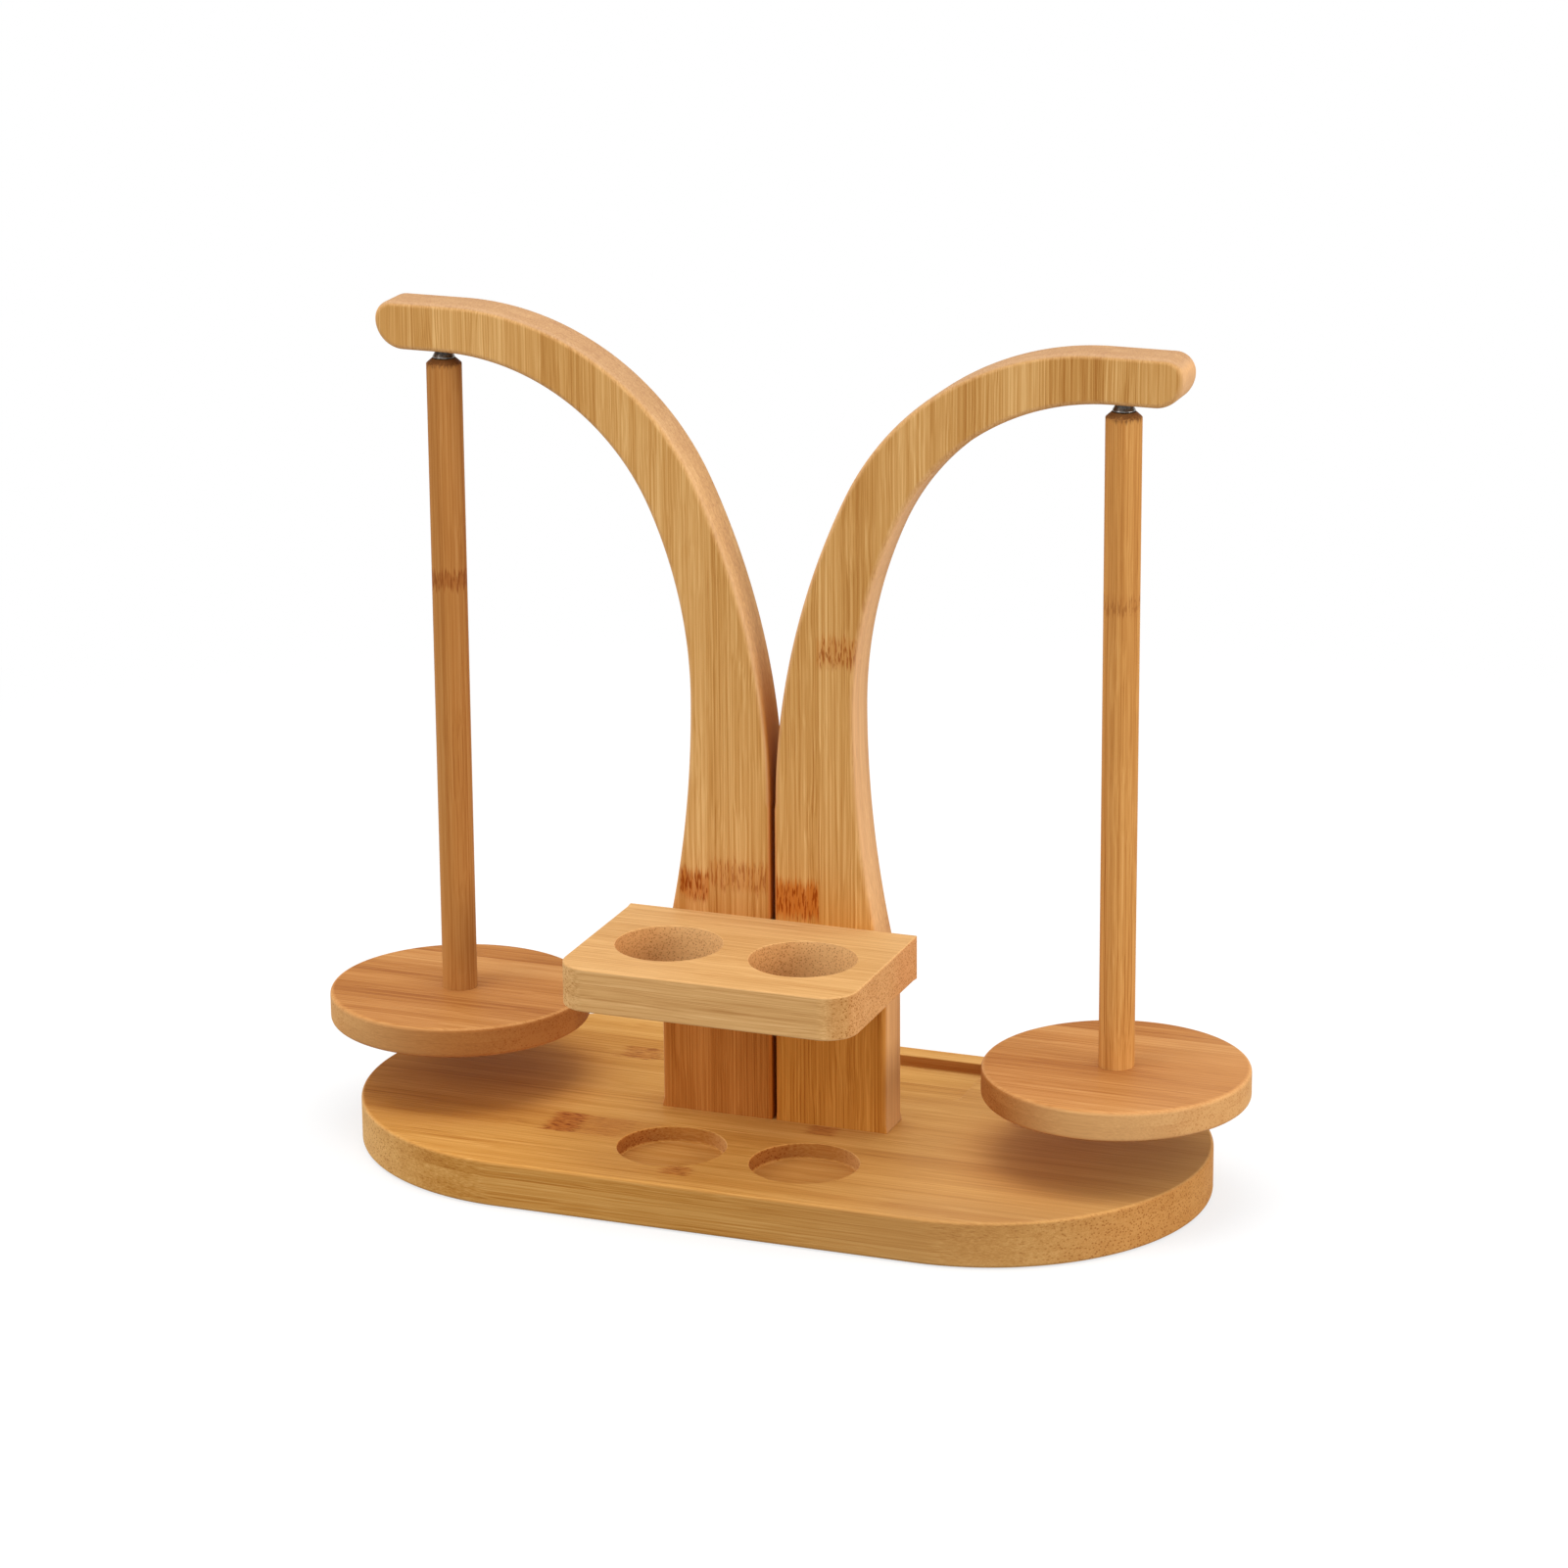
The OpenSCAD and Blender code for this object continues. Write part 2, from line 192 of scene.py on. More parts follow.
class Shell:
    """Patches of one closed surface, in the board's own directions: two in its plane and one through it."""

    def __init__(self):
        self.points, self.normals, self.eased = [], [], []
        self.quads, self.triangles = [], []
        self.count = 0

    def patch(self, points, normals, eased):
        """Adds a grid of points and returns their numbers in the same grid."""
        numbers = self.count + np.arange(points[..., 0].size).reshape(points.shape[:-1])
        self.points.append(points.reshape(-1, 3))
        self.normals.append(np.broadcast_to(normals, points.shape).reshape(-1, 3))
        self.eased.append(np.broadcast_to(eased, points.shape[:-1]).reshape(-1))
        self.count += numbers.size
        return numbers

    def grid(self, numbers, keep=None):
        """Quads between the neighbours of a grid that closes on itself in its first direction."""
        after = np.roll(numbers, -1, 0)
        quads = np.stack([numbers[:, :-1], after[:, :-1], after[:, 1:], numbers[:, 1:]], -1)
        self.quads.append((quads if keep is None else quads[keep]).reshape(-1, 4))

    def wall(self, outline, rows, ease, keep=None):
        """Carries a section round an outline.

        Point (i, j) is outline i, moved into the wood by inset j times ease i plus reach j, at height j plus
        lift j times ease i. Its normal is the way out of the wood times side j, plus up j.
        """
        out = sideways(outline)
        ease = np.broadcast_to(ease, len(outline))[:, None]
        height, lift, inset, reach, side, up = rows.T
        flat = outline[:, None] - out[:, None] * (inset * ease + reach)[..., None]
        points = np.concatenate([flat, (height + lift * ease)[..., None]], -1)
        upward = np.broadcast_to(up, points.shape[:2])[..., None]
        normals = np.concatenate([out[:, None] * side[:, None], upward], -1)
        eased = np.abs(2 * side * up) * (inset > 0)
        self.grid(self.patch(points, normals, eased), keep)
        return points

    def face(self, loops, normal, order=(0, 1)):
        """Fills the first loop of points, leaves the other loops open, and gives the whole face one normal.

        order says which two of a point's three numbers the face is laid flat in.
        """
        points = np.concatenate(loops)
        owner = np.repeat(np.arange(len(loops)), [len(loop) for loop in loops])
        numbers = np.arange(len(points))
        first = np.concatenate([[0], np.cumsum([len(loop) for loop in loops])])
        following = np.where(numbers + 1 == first[owner + 1], first[owner], numbers + 1)
        edges = np.stack([numbers, following], 1).tolist()
        flat = points[:, list(order)]
        _, _, triangles, origin, _, _ = delaunay_2d_cdt(flat.tolist(), edges, [], INSIDE_ONLY, TOUCHING)
        source = np.array([o[0] for o in origin])
        triangles = source[np.array(triangles)]
        in_hole = (owner[triangles] == owner[triangles][:, :1]).all(1) & (owner[triangles][:, 0] > 0)
        self.triangles.append(self.patch(points, normal, 0.0)[triangles[~in_hole]])


print("a shell can add:", [name for name in vars(Shell) if not name.startswith("_")])

# %% [markdown]
# From patches to an object
#
# Neighbouring patches share points. Those are merged, so that the mesh is one closed skin, and Blender gets
# the exact normals corner by corner. A point attribute, `eased`, says how much of a round edge a point lies
# on, and the bamboo will use it.

# %% Make an object of a shell
SAME_TO_DIGITS = 3


def make_object(shell, name, place=np.eye(3)):
    """Merges shared points, turns every face to agree with its normals, and makes the object in metres."""
    points = np.concatenate(shell.points) @ place.T
    normals = np.concatenate(shell.normals) @ place.T
    coarse = np.round(points, SAME_TO_DIGITS)
    _, kept, merged = np.unique(coarse, axis=0, return_index=True, return_inverse=True)
    merged = merged.reshape(-1)
    eased = np.zeros(len(kept))
    np.maximum.at(eased, merged, np.concatenate(shell.eased))
    quads = np.concatenate(shell.quads)
    ends = merged[quads]
    pinched_low = ends[:, 0] == ends[:, 1]
    pinched_high = (ends[:, 2] == ends[:, 3]) & ~pinched_low
    halves = [quads[pinched_low][:, [0, 2, 3]], quads[pinched_high][:, [0, 1, 2]]]
    triangles = np.concatenate(shell.triangles + halves)
    faces, corner_normals = [], []
    for corners in (triangles, quads[~pinched_low & ~pinched_high]):
        a, b, c = (points[corners[:, i]] for i in range(3))
        facing = (np.cross(b - a, c - a) * normals[corners].sum(1)).sum(1)
        corners = np.where(facing[:, None] < 0, corners[:, ::-1], corners)
        faces += merged[corners].tolist()
        corner_normals.append(normals[corners].reshape(-1, 3))
    mesh = bpy.data.meshes.new(name)
    mesh.from_pydata((points[kept] * MM).tolist(), [], faces)
    mesh.polygons.foreach_set("use_smooth", np.ones(len(faces), bool))
    corner_normals = np.concatenate(corner_normals)
    corner_normals /= np.linalg.norm(corner_normals, axis=1, keepdims=True)
    mesh.normals_split_custom_set(corner_normals.tolist())
    mesh.attributes.new("eased", "FLOAT", "POINT").data.foreach_set("value", eased.astype(np.float32))
    piece = bpy.data.objects.new(name, mesh)
    bpy.context.scene.collection.objects.link(piece)
    print(name, "points", len(kept), "faces", len(faces))
    return piece


print("points are one where they agree to", 10 ** -SAME_TO_DIGITS, "mm")

# %% [markdown]
# Screw holes
#
# The countersunk screws under the base, behind the arms and under the plates lie a little below the wood.
# Each needs its own hole, or its head would be buried: a short straight wall, then a cone down to the
# shank. Boolean cuts could make the holes, but then their rims stay sharp.

# %% A countersunk hole
HEAD_RECESS, SCREW_PLAY, RIM_EASE = 0.5, 0.05, 0.15


def countersink(shell, centre, shank_d, face_at):
    """A screw hole up from a face at this height: a wall of twice the shank's width, a cone and a lid.

    The cone narrows to the shank at 45 degrees. Returns the rim that the face has to leave open.
    """
    cone, head_at, slope = shank_d / 2, face_at + HEAD_RECESS, np.sqrt(0.5)
    outline = hole_outline(centre, shank_d + SCREW_PLAY, 48)
    straight = np.concatenate([over_lower_edge(face_at), section(head_at, 0, 0, 0, 1, 0)])
    rim = shell.wall(outline, straight, RIM_EASE)
    heights, reach = np.array([head_at, head_at + cone]), np.array([0, -cone])
    lid = shell.wall(outline, section(heights, 0, 0, reach, slope, -slope), 0)
    shell.face([lid[:, -1]], [0, 0, -1])
    return rim[:, 0]


FOOT_INNER, FOOT_OUTER, SCREW_STEP = 0.75, 40.75, 10.0
FOOT_MIDDLE = (FOOT_INNER + FOOT_OUTER) / 2
SCREW_XS = [side * (FOOT_MIDDLE + step) for side in (-1, 1) for step in (-SCREW_STEP, SCREW_STEP)]
print("screws at x", SCREW_XS)

# %% [markdown]
# The base board
#
# On the real holder the base is one board, sawn to a long shape with round ends, with a shallow tray routed
# into the top behind the arms and two round wells in front of them. It could be a solid with boolean cuts,
# but then the cut edges stay razor sharp. Here each outline carries its own section, and the faces are
# filled between them.

# %% Make the base board
BASE_LENGTH, BASE_WIDTH, BASE_TOP, BASE_EASE = 300.0, 152.0, 16.0, 1.2
TRAY_LENGTH, TRAY_WIDTH, TRAY_DEPTH, TRAY_RIM, TRAY_CORNER = 106.0, 37.0, 4.5, 8.5, 3.0
WELL_D, WELL_DEPTH, WELL_X, WELL_Y = 37.0, 5.5, 23.75, -42.0
WELL_EASE, FLOOR_ROUND, ARM_SCREW_D = 0.35, 0.8, 4.5


def make_base():
    """A board with round ends: the eased wall, a tray, two wells, four screw holes, and its two faces."""
    shell = Shell()
    end_x, r = (BASE_LENGTH - BASE_WIDTH) / 2, BASE_WIDTH / 2
    right_end = circle_part([end_x, 0], r, -90, 90, 96)
    left_end = circle_part([-end_x, 0], r, 90, 270, 96)
    wall = shell.wall(np.concatenate([right_end, left_end]), board_edge(0, BASE_TOP), BASE_EASE)
    tray_back = r - TRAY_RIM
    x, y0, y1 = TRAY_LENGTH / 2, tray_back - TRAY_WIDTH, tray_back
    hollows = [(rounded([[-x, y0], [-x, y1], [x, y1], [x, y0]], TRAY_CORNER, 12), TRAY_DEPTH)]
    hollows += [(hole_outline([side * WELL_X, WELL_Y], WELL_D / 2), WELL_DEPTH) for side in (-1, 1)]
    mouths = []
    for hollow, depth in hollows:
        rows = np.concatenate([off_the_floor(BASE_TOP - depth, FLOOR_ROUND), over_upper_edge(BASE_TOP)])
        inside = shell.wall(hollow, rows, WELL_EASE)
        shell.face([inside[:, 0]], [0, 0, 1])
        mouths.append(inside[:, -1])
    screws = [countersink(shell, [sx, 0], ARM_SCREW_D, 0.0) for sx in SCREW_XS]
    shell.face([wall[:, -1]] + mouths, [0, 0, 1])
    shell.face([wall[:, 0]] + screws, [0, 0, -1])
    return make_object(shell, "base")


base = make_base()
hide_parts("base_board")
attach(base, "stand")
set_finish(base, "base_bamboo")

# %% [markdown]
# The outline of an arm
#
# Each arm is sawn from one board, with the grain upright all the way round the bend. Its edge is drawn as
# arcs that touch: straight up beside its twin, out in two arcs to the level overhang, round the blunt end,
# and back down in two more arcs to a waist and a wider foot. A free curve could follow it too, but arcs can
# be measured. The outline is drawn once for the right arm and mirrored for the left one.

# %% Outline of an arm
ARM_FACE, ARM_HEIGHT, ARM_END, OVERHANG = 7.5, 274.5, 141.0, 16.5
ARM_UNDER = ARM_HEIGHT - OVERHANG
TIP_UPPER, UNDER_FLAT, TOP_FLAT, SHOULDER = 6.5, 24.0, 28.0, 54.0
INNER_LEAN, OUTER_LEAN = 24.5, 25.8
WAIST = np.array([29.25, 146.5])
PARTING = np.array([FOOT_INNER, 110.5])


def bend(p, q, lean, steps=44):
    """An edge that leaves p upright and reaches q level in two arcs, which meet at this lean from upright.

    With k = sin + cos - 1 of the lean, the two radii are (dz cos - dx (1 - sin)) / k and
    (dx sin - dz (1 - cos)) / k. The first point, p, is left out.
    """
    (dx, dz), a = q - p, np.radians(lean)
    k = np.sin(a) + np.cos(a) - 1
    first_r = (dz * np.cos(a) - dx * (1 - np.sin(a))) / k
    second_r = (dx * np.sin(a) - dz * (1 - np.cos(a))) / k
    low = np.linspace(0, a, steps)[1:]
    high = np.linspace(a, np.pi / 2, steps)[1:]
    lower = p + first_r * np.stack([1 - np.cos(low), np.sin(low)], 1)
    upper = lower[-1] + second_r * np.stack([np.cos(a) - np.cos(high), np.sin(high) - np.sin(a)], 1)
    return np.concatenate([lower, upper])


def arm_outline():
    """Front view of the right arm, clockwise: foot, inner edge, round end, underside, waist, foot."""
    lower_r = OVERHANG - TIP_UPPER
    fade = np.append(FADE, 5.0)[:, None]
    inner_foot = circle_part([FOOT_INNER + CRISP, CRISP], CRISP, -90, -180, 4)
    inner_edge = np.concatenate([fade * [0, 1] + [FOOT_INNER, 0], PARTING[None]])
    over = bend(PARTING, np.array([ARM_END - TOP_FLAT, ARM_HEIGHT]), OUTER_LEAN)
    tip_top = circle_part([ARM_END - TIP_UPPER, ARM_HEIGHT - TIP_UPPER], TIP_UPPER, 90, 0, 14)
    tip_low = circle_part([ARM_END - lower_r, ARM_UNDER + lower_r], lower_r, 0, -90, 18)[1:]
    flat_x = np.linspace(ARM_END - lower_r, ARM_END - UNDER_FLAT, 9)[1:-1, None]
    flat = flat_x * [1, 0] + [0, ARM_UNDER]
    under = bend(WAIST, np.array([ARM_END - UNDER_FLAT, ARM_UNDER]), INNER_LEAN)[::-1]
    dx, dz = FOOT_OUTER - WAIST[0], WAIST[1] - SHOULDER
    flare_r = (dx * dx + dz * dz) / (2 * dx)
    flare_turn = np.degrees(np.arcsin(dz / flare_r))
    flare = WAIST + [flare_r, 0] - circle_part([0, 0], flare_r, 0, flare_turn, 40)
    outer_edge = fade[::-1] * [0, 1] + [FOOT_OUTER, 0]
    outer_foot = circle_part([FOOT_OUTER - CRISP, CRISP], CRISP, 0, -90, 4)
    return np.concatenate(
        [inner_foot, inner_edge, over, tip_top, tip_low, flat, under, flare, outer_edge, outer_foot]
    )


print("arm outline points:", len(arm_outline()), "widest", arm_outline().max(0))

# %% [markdown]
# The magnet's seat
#
# Under the end of each arm a steel cup with a magnet is pressed into the wood, level with it. The wall of
# the arm needs a round hole there. A boolean could cut it, but here the rest of the wall keeps its exact
# normals: some quads of the wall are left out, and the gap between their border and the hole's rim is
# filled with triangles that lie on the curved underside.

# %% The hole for the magnet's cup
SPINDLE_X, SEAT_R, SEAT_DEPTH, SEAT_HALF = 119.0, 5.1, 4.6, 5.3
MIDDLE_OF_WALL = len(TURN) - 1


def drill_seat(shell, outline, wall, low, high, centre):
    """The hole for the cup: a filled border on the underside, the bore's wall, and its lid."""
    rim_plan = hole_outline([centre, 0], SEAT_R, 64)
    order = np.argsort(outline[low:high + 1, 0])
    run = outline[low:high + 1][order]
    rim_height = np.interp(rim_plan[:, 0], run[:, 0], run[:, 1])
    rim = np.stack([rim_plan[:, 0], rim_height, rim_plan[:, 1]], 1)
    front, back = wall[low:high + 1, MIDDLE_OF_WALL], wall[low:high + 1, MIDDLE_OF_WALL + 1]
    shell.face([np.concatenate([front, back[::-1]]), rim], [0, -1, 0], (0, 2))
    inward = np.stack([centre - rim[:, 0], np.zeros(len(rim)), -rim[:, 2]], 1) / SEAT_R
    deep = rim * [1, 0, 1] + [0, ARM_UNDER + SEAT_DEPTH, 0]
    bore = np.stack([rim, deep], 1)
    shell.grid(shell.patch(bore, np.repeat(inward[:, None], 2, 1), 0.0))
    shell.face([deep], [0, -1, 0], (0, 2))


print("cup seats at x", [side * SPINDLE_X for side in SIDES.values()])

# %% [markdown]
# The arms
#
# An arm could be an extruded curve with a bevel. It is the outline with an eased edge all round instead,
# because the easing changes on the way: at the foot it runs out, where the arm stands square on the base,
# and beside its twin it is half as wide. The shelf's screws come through from the back.

# %% Make the arms
ARM_EASE, TWIN_SHARE, TWIN_FROM = 1.9, 0.5, 1.0
SHELF_UNDER, SHELF_TOP, SHELF_SCREW_D = 73.0, 88.0, 4.0
BACK_SCREW_Z = (SHELF_UNDER + SHELF_TOP) / 2 - BASE_TOP
STAND_UP = np.array([[1, 0, 0], [0, 0, -1], [0, 1, 0]], float)


def make_arm(name, side):
    """One arm: its wall with the cup's seat, its two faces, and two screw holes in the back."""
    shell = Shell()
    outline = arm_outline() * [side, 1]
    if side > 0:
        outline = outline[::-1]
    across, height = outline.T
    ease = ARM_EASE * runs_out(height)
    ease[(np.abs(across) < FOOT_INNER + 0.01) & (height > TWIN_FROM)] *= TWIN_SHARE
    rows = board_edge(-ARM_FACE, ARM_FACE)
    on_underside = (height < ARM_UNDER + 1) & (height > ARM_UNDER - 3)
    seat = np.flatnonzero(on_underside & (np.abs(across - side * SPINDLE_X) < SEAT_HALF))
    low, high = seat.min() - 1, seat.max() + 1
    keep = np.ones((len(outline), len(rows) - 1), bool)
    keep[low:high, MIDDLE_OF_WALL] = False
    wall = shell.wall(outline, rows, ease, keep)
    drill_seat(shell, outline, wall, low, high, side * SPINDLE_X)
    places = [[x, BACK_SCREW_Z] for x in SCREW_XS if x * side > 0]
    screws = [countersink(shell, place, SHELF_SCREW_D, -ARM_FACE) for place in places]
    shell.face([wall[:, -1]], [0, 0, 1])
    shell.face([wall[:, 0]] + screws, [0, 0, -1])
    arm = make_object(shell, name, STAND_UP)
    arm.data.transform(Matrix.Translation((0, 0, BASE_TOP * MM)))
    return arm


arms = {}
for side_name, side in SIDES.items():
    arms[side_name] = make_arm(side_name + "_curved_arm", side)
    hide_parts(side_name + "_arm")
    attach(arms[side_name], "stand")
    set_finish(arms[side_name], "arm_bamboo")

# %% [markdown]
# The tool shelf
#
# The shelf is a short board with two holes right through it, screwed on from behind the arms. Its front
# corners are well rounded, and its back is square, because it butts against the arms. Here too the easing
# runs out at the joint, so a few more points are put into the sides, close to the back.

# %% Make the tool shelf
SHELF_WIDTH, SHELF_CORNER, SHELF_EASE, HOLE_D, HOLE_EASE = 103.0, 11.0, 0.7, 36.0, 0.4
ARC_POINTS = 17


def make_shelf():
    """A board with two through holes: four corners, then points along the sides where the easing runs out."""
    shell = Shell()
    x, back, front_y = SHELF_WIDTH / 2, -ARM_FACE, -BASE_WIDTH / 2
    radii = [CRISP, SHELF_CORNER, SHELF_CORNER, CRISP]
    corners = rounded([[-x, back], [-x, front_y], [x, front_y], [x, back]], radii, ARC_POINTS - 1)
    fade = back - FADE[:, None]
    left_side = fade * [0, 1] + [-x, 0]
    right_side = fade[::-1] * [0, 1] + [x, 0]
    back_left, front, back_right = np.split(corners, [ARC_POINTS, 3 * ARC_POINTS])
    outline = np.concatenate([back_left, left_side, front, right_side, back_right])
    rows = board_edge(SHELF_UNDER, SHELF_TOP)
    wall = shell.wall(outline, rows, SHELF_EASE * runs_out(back - outline[:, 1]))
    plans = [hole_outline([side * WELL_X, WELL_Y], HOLE_D / 2) for side in (-1, 1)]
    holes = [shell.wall(plan, rows, HOLE_EASE) for plan in plans]
    shell.face([wall[:, -1]] + [h[:, -1] for h in holes], [0, 0, 1])
    shell.face([wall[:, 0]] + [h[:, 0] for h in holes], [0, 0, -1])
    return make_object(shell, "shelf")


shelf = make_shelf()
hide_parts("tool_shelf")
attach(shelf, "stand")
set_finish(shelf, "shelf_bamboo")

# %% [markdown]
# Turned pieces
#
# The rods, plates and steel tips were made on a lathe, so each is a profile, turned about an upright axis.
# Blender's Screw modifier could turn it, but its normals would be guessed from the faces. Here they come
# from the profile's own slope. A row of a profile is a corner's radius, its height and how far it is
# rounded.

# %% A lathe
AROUND, ROUND_STEPS = 96, 6


def turned(name, centre_x, rows):
    """A lathe piece: point (i, j) is the profile's radius j at angle i round the axis, at its height j."""
    shell = Shell()
    profile = rounded(rows[:, :2], rows[:, 2], ROUND_STEPS, closed=False)
    slope = np.gradient(profile, axis=0)
    slope[1:-1] = profile[2:] - profile[:-2]
    out = np.stack([slope[:, 1], -slope[:, 0]], 1)
    out /= np.linalg.norm(out, axis=1, keepdims=True)
    angle = np.linspace(0, 2 * np.pi, AROUND, endpoint=False)
    ring = np.stack([np.cos(angle), np.sin(angle)], 1)
    height = np.broadcast_to(profile[:, 1:], (AROUND, len(profile), 1))
    upward = np.broadcast_to(out[:, 1:], (AROUND, len(out), 1))
    points = np.concatenate([ring[:, None] * profile[:, :1], height], -1)
    normals = np.concatenate([ring[:, None] * out[:, :1], upward], -1)
    eased = np.abs(2 * out[:, 0] * out[:, 1])
    shell.grid(shell.patch(points + [centre_x, 0, 0], normals, eased))
    return make_object(shell, name)


print("one step round the lathe:", 360 / AROUND, "degrees")

# %% Profiles of the spindles
SHARP, PLAY = 0.05, 0.05
ROD_R, ROD_TOP, ROD_BEVEL, BORE_R, BORE_FOOT = 6.0, 270.8, 1.8, 3.55, 260.25
PLATE_R, PLATE_UNDER, PLATE_TOP, PLATE_EDGE = 45.0, 37.5, 48.0, 1.5
TENON_R, TENON_FOOT, PLATE_SCREW_D = 4.0, 43.0, 4.0
TIP_TOP, TIP_FOOT, TIP_TOP_R, TIP_BASE_R = 273.7, 271.0, 2.5, 4.0
PIN_FOOT, PIN_HEAD_TOP, PIN_HEAD_R, PIN_SHANK_R = 261.25, 262.75, 2.7, 1.5
HEAD_R, SHANK_R = PLATE_SCREW_D + PLAY, PLATE_SCREW_D / 2 + PLAY
HEAD_FOOT = PLATE_UNDER + HEAD_RECESS
HEAD_TOP = HEAD_FOOT + PLATE_SCREW_D / 2
ROD = np.array([
    [0, TENON_FOOT, SHARP], [TENON_R, TENON_FOOT, SHARP], [TENON_R, PLATE_TOP, SHARP],
    [ROD_R, PLATE_TOP, SHARP], [ROD_R, ROD_TOP - ROD_BEVEL, 0.5], [TIP_BASE_R, ROD_TOP, 0.1],
    [BORE_R, ROD_TOP, SHARP], [BORE_R, BORE_FOOT, SHARP], [0, BORE_FOOT, SHARP],
])
PLATE = np.array([
    [0, HEAD_TOP, SHARP], [SHANK_R, HEAD_TOP, SHARP], [HEAD_R, HEAD_FOOT, SHARP],
    [HEAD_R, PLATE_UNDER, 0.2], [PLATE_R, PLATE_UNDER, PLATE_EDGE], [PLATE_R, PLATE_TOP, PLATE_EDGE],
    [TENON_R + PLAY, PLATE_TOP, SHARP], [TENON_R + PLAY, TENON_FOOT, SHARP], [0, TENON_FOOT, SHARP],
])
TIP = np.array([
    [0, PIN_FOOT, 0.1], [PIN_HEAD_R, PIN_FOOT, 0.2], [PIN_HEAD_R, PIN_HEAD_TOP, 0.2],
    [PIN_SHANK_R, PIN_HEAD_TOP, 0.1], [PIN_SHANK_R, TIP_FOOT, 0.1], [TIP_BASE_R, TIP_FOOT, 0.3],
    [TIP_TOP_R, TIP_TOP, 0.35], [0, TIP_TOP, 0.1],
])
print("corners: rod", len(ROD), "plate", len(PLATE), "tip", len(TIP))

# %% Turn the spindles
for side_name, side in SIDES.items():
    for part, body, node, slot, profile in (
        ("rod", "_spindle", "_spindle_rod", "rod_bamboo", ROD),
        ("round_plate", "_spindle", "_plate", "plate_bamboo", PLATE),
        ("steel_tip", "_swivel", "_swivel_pin", "tip_steel", TIP),
    ):
        piece = turned(side_name + "_" + part, side * SPINDLE_X, profile)
        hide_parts(side_name + node)
        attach(piece, side_name + body)
        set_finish(piece, slot)

# %% [markdown]
# Sums with wires
#
# A material is a tree of nodes. Written out one by one, a formula with ten terms becomes fifty lines.
# `Wire` wraps the end of a wire so that a formula can be written as a formula: `1 - mask * 0.5` adds two
# Math nodes and joins them. Any other node comes from one method, which sets the node's settings first and
# then its sockets.

# %% Wires
class Wire:
    """One output in a node tree, usable in sums with numbers and other wires."""

    def __init__(self, tree, socket=None):
        self.tree, self.socket = tree, socket

    def node(self, kind, settings=None, sockets=None, out=0):
        """Adds a node, gives it its settings, feeds its sockets, and returns one of its outputs."""
        made = self.tree.nodes.new(kind)
        for name, value in (settings or {}).items():
            if name == "stops":
                elements = made.color_ramp.elements
                elements.remove(elements[1])
                elements[0].position, elements[0].color = value[0]
                for place, colour in value[1:]:
                    elements.new(place).color = colour
            else:
                setattr(made, name, value)
        for name, value in (sockets or {}).items():
            if isinstance(value, Wire):
                self.tree.links.new(value.socket, made.inputs[name])
            else:
                made.inputs[name].default_value = value
        return Wire(self.tree, made.outputs[out])

    def sum(self, operation, first, second=0.0):
        return self.node("ShaderNodeMath", {"operation": operation}, {0: first, 1: second})

    def __add__(self, other):
        return self.sum("ADD", self, other)

    def __radd__(self, other):
        return self.sum("ADD", other, self)

    def __sub__(self, other):
        return self.sum("SUBTRACT", self, other)

    def __rsub__(self, other):
        return self.sum("SUBTRACT", other, self)

    def __mul__(self, other):
        return self.sum("MULTIPLY", self, other)

    def __rmul__(self, other):
        return self.sum("MULTIPLY", other, self)

    def __truediv__(self, other):
        return self.sum("DIVIDE", self, other)

    def __abs__(self):
        return self.sum("ABSOLUTE", self)

    def floor(self):
        return self.sum("FLOOR", self)

    def larger(self, other):
        return self.sum("MAXIMUM", self, other)

    def step(self, low, high):
        """0 below low, 1 above high, and a smooth rise between. Where low is the larger, it falls instead."""
        sockets = {0: self, 1: low, 2: high, 3: 0.0, 4: 1.0}
        return self.node("ShaderNodeMapRange", {"interpolation_type": "SMOOTHSTEP"}, sockets)


print("sums with wires:", [name for name in vars(Wire) if name.startswith("__") and name != "__init__"])

# %% [markdown]
# Colours and patterns
#
# Colours are written as a screen shows them, and turned into the linear light that shaders work in. A
# finish is built in coats: a blend puts one colour over another, and a stain multiplies it, as oil does on
# wood, so that the grain still shows through. The patterns are noises and cells that fill space.

# %% Colours
def linear(red, green, blue):
    """A screen colour, 0 to 255, in linear light: ((c + 0.055) / 1.055) ^ 2.4, or c / 12.92 where dark."""
    c = np.array([red, green, blue]) / 255
    c = np.where(c <= 0.04045, c / 12.92, ((c + 0.055) / 1.055) ** 2.4)
    return (*c.tolist(), 1.0)


def blend_colours(factor, first, second):
    """A colour that goes from the first to the second as the factor goes from 0 to 1."""
    return factor.node("ShaderNodeMix", {"data_type": "RGBA"}, {0: factor, 6: first, 7: second}, 2)


def stain(factor, colour, dye):
    """Lays a dye over a colour: where the factor is 1, the colour is multiplied by the dye."""
    settings = {"data_type": "RGBA", "blend_type": "MULTIPLY"}
    return factor.node("ShaderNodeMix", settings, {0: factor, 6: colour, 7: (*dye, 1.0)}, 2)


print("mid grey in linear light:", round(linear(128, 128, 128)[0], 3))

# %% Patterns
def point(a, b, c):
    """A place in a pattern, from three wires or numbers."""
    wire = next(value for value in (a, b, c) if isinstance(value, Wire))
    return wire.node("ShaderNodeCombineXYZ", None, {0: a, 1: b, 2: c})


def noise(spot, detail=2.0, rough=0.5, scale=1.0):
    """Soft noise round 0.5. More detail adds finer noise on top, and rough says how strong that is."""
    sockets = {"Vector": spot, "Scale": scale, "Detail": detail, "Roughness": rough}
    return spot.node("ShaderNodeTexNoise", None, sockets)


def lottery(spot):
    """A random number from 0 to 1 for every different place."""
    return spot.node("ShaderNodeTexWhiteNoise", {"noise_dimensions": "3D"}, {"Vector": spot})


